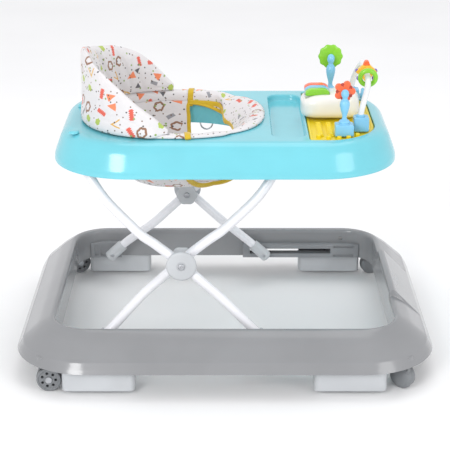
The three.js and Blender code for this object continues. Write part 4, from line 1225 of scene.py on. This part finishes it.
LEG_OUTLINE = [(LEG_REAR_X, 383), (-67, 356), (-66, 332), (-59, 304), (-42, 287), (-16, 284), (10, 292)]
LEG_OUTLINE += [(32, 312), (38, 338), (28, 356), (10, 366), (-14, 376), (-40, 383)]


def leg_edge(side, tape):
    """The leg opening's edge on the bowl: the outline's x and z, with y where the bowl is there."""
    flat = np.array([(x, 0, z) for x, z in LEG_OUTLINE])
    line = spline(flat, 150, closed=True)
    half_x, half_y, middle = bowl_halves(line[:, 2])
    share = np.clip(np.abs((line[:, 0] - middle) / half_x), 0, 0.995)
    y = half_y * (1 - share**SEAT_POWER) ** (1 / SEAT_POWER)
    return np.stack([line[:, 0], side * np.maximum(y, 35) - side * tape, line[:, 2]], 1)


def tape_along(path, across, wide, thick, closed):
    """Binding folded over an edge: a flat section with rounded sides carried along the path."""
    angle = np.arange(14) * TURN / 14
    c, s = np.cos(angle), np.sin(angle)
    a, b = np.sign(c) * np.abs(c) ** 0.6, np.sign(s) * np.abs(s) ** 0.5
    section = np.stack([wide / 2 * a, thick / 2 * b], 1)
    solid = swept(path, section, across, closed)
    along = arc_length(path)[:, None]
    uv = np.stack(np.broadcast_arrays(along, (section[:, 0] + wide)[None, :]), -1).reshape(-1, 2) * MM
    if not closed:
        uv = np.vstack([uv, uv[:1], uv[-1:]])
    return solid, uv


def puff(piece, cap, keep_under=None):
    """Swells a padded piece by a cloth simulation, and caps how far any point may move.

    The piece's own mesh is the cloth, under an inner pressure and without gravity; points below
    keep_under (mm) stay where they are, as they rest on the tray.
    """
    before = np.empty(len(piece.data.vertices) * 3)
    piece.data.vertices.foreach_get("co", before)
    before = before.reshape(-1, 3)
    held = piece.vertex_groups.new(name="held")
    still = np.nonzero(before[:, 2] < keep_under * MM)[0].tolist()
    held.add(still, 1.0, "REPLACE")
    cloth = piece.modifiers.new("padding", "CLOTH")
    cloth.settings.quality = 4
    cloth.settings.use_pressure = True
    cloth.settings.uniform_pressure_force = 4.0
    cloth.settings.vertex_group_mass = "held"
    cloth.settings.tension_stiffness = 25
    cloth.settings.compression_stiffness = 8
    cloth.settings.bending_stiffness = 0.6
    cloth.settings.effector_weights.gravity = 0.0
    cloth.collision_settings.use_collision = False
    cloth.point_cache.frame_start = 1
    cloth.point_cache.frame_end = 16
    for step in range(1, 17):
        bpy.context.scene.frame_set(step)
    graph = bpy.context.evaluated_depsgraph_get()
    swollen = piece.evaluated_get(graph)
    after = np.empty_like(before).ravel()
    swollen.data.vertices.foreach_get("co", after)
    shift = after.reshape(-1, 3) - before
    far = np.linalg.norm(shift, axis=1)[:, None]
    shift *= np.minimum(1, cap * MM / np.maximum(far, 1e-9))
    piece.modifiers.clear()
    piece.vertex_groups.clear()
    piece.data.vertices.foreach_set("co", (before + shift).ravel())
    piece.data.update()
    bpy.context.scene.frame_set(1)


class WALKER_OT_seat(bpy.types.Operator):
    """Builds the seat: padded back and rim, the hung sling, and the yellow bindings."""

    bl_idname = "walker.seat"
    bl_label = "Seat"

    def execute(self, context):
        sizes = context.scene.walker_sizes
        cloth = finish("printed polyester")
        yellow = finish("yellow grosgrain binding")
        solid, uv = rim_pad()
        rim = put("seat_rim_roll", solid, cloth, 180, uv)
        puff(rim, 1.2, 399.2)
        belongs(rim, "tray", "printed_fabric", "seat_rim_pad")
        solid, uv = backrest(sizes)
        back = put("seat_back_pad", solid, cloth, 180, uv)
        puff(back, sizes.puff / MM, 412.0)
        belongs(back, "tray", "printed_fabric", "seat_backrest")

        solid, uv = sling_bowl()
        sling = put("seat_sling_cloth", solid, cloth, 180, uv)
        flat = spline(np.array([(x, 0, z) for x, z in LEG_OUTLINE]), 90, closed=True)[:, [0, 2]]
        cutters = []
        for _, side in SIDES:
            start = 34 if side > 0 else -170
            points, faces = stacked([flat] * 2, [0, 136])
            cutters.append(upright((points, faces), start))
        carve(sling, cutters, sharp=180)
        belongs(sling, "tray", "printed_fabric", "seat_sling")
        for tag, side in SIDES:
            path = leg_edge(side, 0.8)
            middle = path.mean(0)
            solid, uv = tape_along(path, path - middle, 9.5, 4.4, True)
            tape = put(f"leg_binding_{tag}", solid, yellow, 50, uv)
            belongs(tape, "tray", "printed_fabric")

        # along the rim pad's inner edge: across the lip in front, and along a flap on either side
        outline = seat_outline(0, 1200)
        normal = seat_normals(outline)
        weight = smoothstep((outline[:, 0] + 12) / 52)
        drop = FLAP_EDGE[1] * (1 - weight) + LIP_EDGE[1] * weight
        flap = FLAP_EDGE[0] * (1 - weight) + LIP_EDGE[0] * weight
        beside = (outline[:, 0] > -64) & (outline[:, 0] < 41)
        bearing = np.arctan2(outline[:, 1], outline[:, 0] - SEAT_X)
        for name, inner, chosen, order, wide in (
            ("lip_binding", 0 * flap + LIP_EDGE[0], outline[:, 0] > 40, bearing, 7.0),
            ("flap_binding_r", flap, beside & (outline[:, 1] < 0), outline[:, 0], 9.0),
            ("flap_binding_l", flap, beside & (outline[:, 1] > 0), outline[:, 0], 9.0),
        ):
            line = np.column_stack([outline + normal * inner[:, None], drop])
            path = line[chosen][np.argsort(order[chosen])][::3]
            solid, uv = tape_along(path, (0, 0, 1), wide, 3.2, False)
            binding = put(name, solid, yellow, 50, uv)
            belongs(binding, "tray", "printed_fabric")
        for tag, side in SIDES:
            over = [(-11.6, 378), (-11.4, 388), (-11.4, 395), (-9.6, 402.6), (-4, 406), (3, 406.4)]
            over = np.array([*over, (10.4, 405), (14, 401.2), (13, 399.2)])
            x = -64 + 4 * np.linspace(0, 1, len(over))
            y = side * (SEAT_HALF[1] + over[:, 0])
            path = spline(np.column_stack([x, y, over[:, 1]]), 40)
            solid, uv = tape_along(path, (1, 0, 0), 10.0, 1.6, False)
            binding = put(f"rim_binding_{tag}", solid, yellow, 50, uv)
            belongs(binding, "tray", "printed_fabric")
        return {"FINISHED"}


# ---------------------------------------------------------------- toys

KEYS = (("orange", 21.0, "toy_orange"), ("blue", 3.0, "toy_blue"), ("green", -15.0, "toy_green"))
PEGS = ((154.7, -131.0), (170.6, -138.0), (187.7, -140.5), (203.5, -138.0), (219.0, -122.5))


class WALKER_OT_board(bpy.types.Operator):
    """Builds the toy board with its raised rim, ribbed bars and pegs."""

    bl_idname = "walker.board"
    bl_label = "Toy board"

    def execute(self, context):
        rows = [(1.0, 390.3), (1.0, 394.8), (1.5, 395.7), (2.3, BOARD_TOP), (5.0, BOARD_TOP), (5.8, 395.6)]
        rows += [(6.2, 394.9), (7.4, 394.6)]
        plate = stacked([board_outline(gap) for gap, _ in rows], [z for _, z in rows])
        parts = [plate]
        for x in (158.5, 175.5):
            for k in range(9):
                y = -50 - 8.6 * k
                low, high = (x - 4.2, y - 3.1, BOARD_TOP - 2), (x + 4.2, y + 3.1, BOARD_TOP + 2.6)
                parts.append(block(low, high, 1.2))
            parts.append(block((x - 5.4, -124, BOARD_TOP - 2), (x + 5.4, -44, BOARD_TOP + 0.6), 0.9))
        for x, y in PEGS:
            peg = rounded([(0, -2), (4, -2), (4, 3.4), (3, 4.4), (0, 4.7)], [0, 0, 1, 1, 0])
            parts.append(turned(peg, (x, y, BOARD_TOP), sides=24))
        slot = ("tray", "toy_yellow", "toy_board")
        piece("toy_board_moulding", together(*parts), "yellow toy ABS", *slot, sharp=34)
        return {"FINISHED"}


def hull_section(x):
    """Half width of the sounding box at a place along it, 0 to 1, and a share that falls from 1 in the middle
    to 0 at the ends.
    """
    s = np.clip(x, 1e-4, 1 - 1e-4)
    end = (1 - np.abs(2 * s - 1) ** 3.2) ** (1 / 2.6)
    return 38 * (0.42 + 0.58 * end) * np.minimum(1, end * 1.9), end


class WALKER_OT_piano(bpy.types.Operator):
    """Builds the sounding box, its three keys and the knob on its end."""

    bl_idname = "walker.piano"
    bl_label = "Sounding box"

    def execute(self, context):
        s = np.concatenate([[0.002, 0.01, 0.025], np.linspace(0.05, 0.95, 40), [0.975, 0.99, 0.998]])
        half, end = hull_section(s)
        x = 130.5 + 101 * s
        top = 441 + 7 * smoothstep((s - 0.55) / 0.14)
        low = 396.6 + 13 * (1 - end) ** 1.3
        crest = low + (top - low) * (0.42 + 0.58 * end)
        angle = np.arange(56) * TURN / 56
        c, si = np.cos(angle), np.sin(angle)
        middle, reach = (crest + low) / 2, (crest - low) / 2
        y = half[:, None] * np.sign(c) * np.abs(c) ** 0.62
        z = middle[:, None] + reach[:, None] * np.sign(si) * np.abs(si) ** 0.62
        grid = np.stack([np.broadcast_to(x[:, None], y.shape), y, z], -1)
        white = finish("off-white toy ABS")
        hull = put("sounding_box", skin(grid), white)
        cutters = [block((137.2, y - 8, 432), (180, y + 8, 470), 1.2, 1.6) for _, y, _ in KEYS]
        carve(hull, cutters)
        even_shading(hull)
        belongs(hull, "tray", "toy_white", "toy_piano_body")
        for name, y, slot_name in KEYS:
            outline = [(137.8, 436.5), (137.8, 443.6), (144, 447.4), (149, 448.6), (169, 448.6)]
            outline += [(174.4, 447.2), (179.2, 443.6), (179.2, 436.5)]
            key = upright(slab(rounded_loop(outline, 2.4, 5), 0, 14.8, 2.4, 5), y - 7.4)
            hidden = (f"key_{name}", slot_name, f"toy_key_{name}")
            piece(f"key_{name}_cap", key, f"{name} toy ABS", *hidden)
        knob = [(0, 0), (4, 0), (4, 1.5), (12.4, 2.6), (14, 5.6), (11.5, 8.6), (5, 9), (3.6, 7.6), (0, 7.4)]
        knob = rounded(knob, [0, 0, 1, 2, 3, 2, 1, 1, 0])
        ear = turned(knob, (232.4, 0, 432), (1, 0, 0), 56)
        hidden = ("side_knob", "toy_blue", "toy_side_knob")
        piece("side_knob_cap", ear, "blue toy ABS", *hidden, even=False)
        return {"FINISHED"}


STAND_PROFILE = [(0, 18), (9.6, 18), (10.2, 20), (8.4, 21.2), (9.6, 22.6), (8.6, 25), (4.6, 27.4), (3.5, 31)]
STAND_PROFILE += [(4.1, 35), (6.4, 42), (8.2, 50), (8.3, 55), (6.6, 59.4), (4.3, 61.8), (4.0, 63.4)]
STAND_PROFILE += [(4.9, 65), (6.4, 68), (6.7, 71.6), (5.2, 75.6), (2.4, 77.6), (0, 78)]
STAND_BALL = 72.06
STANDS = (
    # name, middle in x and y, the block's half width, height of the pin through the ball
    ("near", 197.0, -120.0, 13.0, 468.06),
    ("far", 189.0, 100.0, 12.0, 475.0),
)


def lobed_outline(count, middle, swing, power, places=240):
    """A flower outline: radius = middle + swing |cos(n a / 2)|^power."""
    angle = np.arange(places) * TURN / places
    radius = middle + swing * np.abs(np.cos(count * angle / 2)) ** power
    return radius[:, None] * np.stack([np.cos(angle), np.sin(angle)], 1)


def domed(outline, thick, bulge, edge):
    """A plate whose two faces swell towards the middle: inner rings shrink and rise."""
    shrink = np.array([1.0, 0.985, 0.95, 0.86, 0.7, 0.5, 0.28, 0.1])
    lift = thick / 2 - edge + edge * np.sqrt(1 - np.clip((shrink - 0.9) / 0.1, 0, 1) ** 2)
    lift = lift + bulge * (1 - shrink**2)
    rows = [np.column_stack([outline * s, np.full(len(outline), h)]) for s, h in zip(shrink, lift)]
    below = [row * [1, 1, -1] for row in rows]
    return skin(np.stack(below[::-1] + rows))


class WALKER_OT_spinners(bpy.types.Operator):
    """Builds the two turned stands and the flower and leaf disc that spin on them."""

    bl_idname = "walker.spinners"
    bl_label = "Spinners"

    def execute(self, context):
        for name, x, y, half_y, ball_z in STANDS:
            low, high = (x - 15.5, y - half_y, BOARD_TOP + 0.4), (x + 15.5, y + half_y, BOARD_TOP + 20)
            foot = block(low, high, 2.4, 3)
            profile = np.array(STAND_PROFILE)
            stretch = (ball_z - BOARD_TOP - 25) / (STAND_BALL - 25)
            profile[:, 1] = np.where(profile[:, 1] > 25, 25 + (profile[:, 1] - 25) * stretch, profile[:, 1])
            post = turned(rounded(profile + [0, BOARD_TOP], 2.2, 3), (x, y, 0), sides=56)
            pin = rounded([(0, 0), (2, 0), (2, 18), (0, 18)], 0.5)
            pin = turned(pin, (x, y, ball_z), (0, 1, 0), 24)
            stand, slot = together(foot, post, pin), ("tray", "toy_blue", f"toy_stand_{name}")
            piece(f"spinner_stand_{name}", stand, "blue toy ABS", *slot, sharp=40)
        flower_y, disc_y = -108.5, 111.5
        petals = lobed_outline(5, 9.2, 9.0, 0.7)
        flower = domed(petals, 4.4, 1.0, 1.4)
        star = slab(lobed_outline(5, 8, 7.0, 1.6) * -1, -2.6, -1.6, 0.3)
        button = turned(rounded([(0, 1.5), (5, 1.5), (5, 3.4), (3.6, 4.6), (0, 4.9)], 1), sides=32)
        for label, solid, material, names in (
            ("petals", flower, "orange toy ABS", ["toy_flower"]),
            ("backing", together(star, button), "dark red toy ABS", []),
        ):
            points, faces = upright(solid, flower_y)
            solid = (points + [197, 0, STANDS[0][4]], faces)
            piece(f"flower_{label}", solid, material, "flower", "toy_orange", *names, even=False)
        angle = np.arange(240) * TURN / 240
        lobes = (21.3 + 0.8 * np.cos(10 * angle))[:, None] * np.stack([np.cos(angle), np.sin(angle)], 1)
        points, faces = upright(domed(lobes, 4.6, 1.8, 1.6), disc_y)
        disc = (points + [189, 0, STANDS[1][4]], faces)
        hidden = ("leaf_disc", "toy_green", "toy_leaf_disc")
        piece("leaf_disc_plate", disc, "green toy ABS", *hidden, even=False)
        return {"FINISHED"}


ARCH = [(226, 93, 410), (226.5, 93, 425), (231, 90, 445), (237, 80, 463), (240, 60, 474.5)]
ARCH += [(240.5, 30, 479), (240.5, 0, 480)]
RING_PLACE = ((240.38, -52.13, 476.53), (0.025, 0.982, 0.186))
STAR_PLACE = ((240.54, -19.79, 479.67), (0.0, 0.999, 0.044))


class WALKER_OT_arch(bpy.types.Operator):
    """Builds the toy arch with its two blocks, and the ring and star threaded on it."""

    bl_idname = "walker.arch"
    bl_label = "Toy arch"

    def execute(self, context):
        half = np.array(ARCH, float)
        line = spline(np.vstack([half * [1, -1, 1], half[-2::-1]]), 120)
        tube = swept(line, circle(context.scene.walker_sizes.arch / MM, 32), (1, 0, 0.3))
        hidden = ("tray", "white_plastic", "toy_arch")
        piece("arch_tube", tube, "white arch ABS", *hidden, sharp=60, even=False)
        for tag, side in SIDES:
            y0, y1 = sorted((side * 80, side * 105))
            foot = block((214.5, y0, BOARD_TOP + 0.4), (240, y1, 421), 2.6, 3.2)
            collar = rounded([(0, 24), (7.6, 24), (7.6, 27.4), (6, 28.6), (0, 28.6)], 0.8)
            collar = turned(collar, (226, side * 93, BOARD_TOP), sides=40)
            solid = together(foot, collar)
            piece(f"arch_foot_{tag}", solid, "blue toy ABS", "tray", "toy_blue")
        place, axis = RING_PLACE
        profile = [(8.7, 0), (10, -3.6), (14, -4.6), (17, -2.2), (17, 2.2), (14, 4.6), (10, 3.6)]
        loop = rounded_loop(profile, 2.2, 5)
        ring = turned(loop, place, axis, 64, bored=True)
        hidden = ("ring", "toy_green", "toy_ring")
        piece("arch_ring", ring, "green toy ABS", *hidden, sharp=60, even=False)
        place, axis = (np.array(value) for value in STAR_PLACE)
        axis = axis / np.linalg.norm(axis)
        up = np.array([0.0, 0, 1.0]) - axis[2] * axis
        up /= np.linalg.norm(up)
        ahead = np.cross(up, axis)

        def threaded(solid):
            points, faces = solid
            return outwards(place + points[:, :1] * ahead + points[:, 1:2] * up + points[:, 2:] * axis, faces)

        angle = np.arange(8) * TURN / 8
        radius = np.where(np.arange(8) % 2, 12.5, 19.0)[:, None]
        corners = radius * np.stack([np.cos(angle), np.sin(angle)], 1)
        body = slab(rounded_loop(corners, 3, 5), -4, 4, 1.8, 5)
        top = slab(rounded_loop([(-6.5, 11), (6.5, 11), (3, 19.4), (-3, 19.4)], 2.4, 4), -4.6, 4.6, 1.4, 4)
        knob = rounded([(0, -3), (3.4, -3), (3.4, 3), (0, 3)], 1.4)
        places = ((13, -12), (-13, -12), (15.5, 1), (-15.5, 1))
        knobs = together(*(turned(knob, (x, y, 0), sides=24) for x, y in places))
        star = put("arch_star_body", threaded(body), finish("star toy ABS"))
        hole = turned([(0, -8), (5.9, -8), (5.9, 8), (0, 8)], sides=32)
        carve(star, [threaded(hole)])
        even_shading(star)
        belongs(star, "star", "star_yellow", "toy_star")
        for name, solid, material, slot in (
            ("arch_star_cap", top, "orange toy ABS", "toy_orange"),
            ("arch_star_knobs", knobs, "purple toy ABS", "star_yellow"),
        ):
            piece(name, threaded(solid), material, "star", slot, even=False)
        return {"FINISHED"}


# ---------------------------------------------------------------- stage


FLOOR_HALF = 6000.0
# name, place, the point it faces (metres), width of the disc (metres), power (watts)
LIGHTS = (
    ("key light", (-1.2, -2.6, 1.5), (0, 0, 0.3), 1.1, 30),
    ("fill light", (1.9, -2.1, 1.3), (0, 0, 0.3), 1.3, 12),
    ("top light", (0.3, 0.6, 2.6), (0, 0, 0.2), 2.0, 12),
)
LENS, SENSOR = 113.3, 36.0  # millimetres
CAMERA_PLACE = (0, -2.3755, 1.0586)
CAMERA_TILT = 70.0


def area_light(name, place, aim, size, power):
    light = bpy.data.lights.new(name, "AREA")
    light.shape = "DISK"
    light.size = size
    light.energy = power
    made = bpy.data.objects.new(name, light)
    made.location = place
    made.rotation_euler = (Vector(aim) - Vector(place)).to_track_quat("-Z", "Y").to_euler()
    bpy.context.scene.collection.objects.link(made)


class WALKER_OT_stage(bpy.types.Operator):
    """Builds the floor, the lights and the camera."""

    bl_idname = "walker.stage"
    bl_label = "Stage"

    def execute(self, context):
        scene = context.scene
        material, tree, surface = new_material("pale matt floor", Roughness=0.85)
        place = node(tree, "TexCoord", output="Object")
        mottle = {"Vector": place, "Scale": per_metre(400), "Detail": 2.0}
        tones = {6: rgba("F4F4F4"), 7: rgba("FBFBFB"), "Factor": node(tree, "TexNoise", mottle, "Fac")}
        tone = node(tree, "Mix", tones, 2, data_type="RGBA")
        tree.links.new(tone, surface.inputs["Base Color"])
        outline = rounded_rectangle(FLOOR_HALF, FLOOR_HALF, FLOOR_HALF / 10, 8)
        floor = put("floor", stacked([outline] * 2, [-20, 0]), material)
        scene.view_settings.view_transform = "Standard"
        world = bpy.data.worlds.new("studio") if scene.world is None else scene.world
        scene.world = world
        world.use_nodes = True
        sky = world.node_tree.nodes["Background"]
        sky.inputs["Color"].default_value = rgba("FDFDFF")
        sky.inputs["Strength"].default_value = 0.92
        for settings in LIGHTS:
            area_light(*settings)
        camera = bpy.data.cameras.new("camera")
        camera.lens = LENS
        camera.sensor_width = SENSOR
        viewer = bpy.data.objects.new("camera", camera)
        viewer.location = CAMERA_PLACE
        viewer.rotation_euler = (math.radians(CAMERA_TILT), 0, 0)
        scene.collection.objects.link(viewer)
        scene.camera = viewer
        return {"FINISHED"}


# ---------------------------------------------------------------- panel and registration

STEPS = (
    WALKER_OT_stage,
    WALKER_OT_base,
    WALKER_OT_castors,
    WALKER_OT_frames,
    WALKER_OT_tray,
    WALKER_OT_seat,
    WALKER_OT_board,
    WALKER_OT_piano,
    WALKER_OT_spinners,
    WALKER_OT_arch,
)


class WALKER_PT_pieces(bpy.types.Panel):
    """Lists the walker's sizes and colours, and a button for each group of pieces."""

    bl_idname = "WALKER_PT_pieces"
    bl_label = "Baby walker"
    bl_space_type = "VIEW_3D"
    bl_region_type = "UI"
    bl_category = "Walker"

    def draw(self, context):
        for group in (context.scene.walker_sizes, context.scene.walker_colours):
            for name in type(group).__annotations__:
                self.layout.prop(group, name)
        for step in STEPS:
            self.layout.operator(step.bl_idname)


CLASSES = (WalkerSizes, WalkerColours, *STEPS, WALKER_PT_pieces)


def register():
    for made in CLASSES:
        bpy.utils.register_class(made)
    bpy.types.Scene.walker_sizes = bpy.props.PointerProperty(type=WalkerSizes)
    bpy.types.Scene.walker_colours = bpy.props.PointerProperty(type=WalkerColours)


def unregister():
    del bpy.types.Scene.walker_colours
    del bpy.types.Scene.walker_sizes
    for made in reversed(CLASSES):
        bpy.utils.unregister_class(made)


def main():
    register()
    for step in STEPS:
        group, name = step.bl_idname.split(".")
        getattr(getattr(bpy.ops, group), name)()


if __name__ == "__main__":
    main()
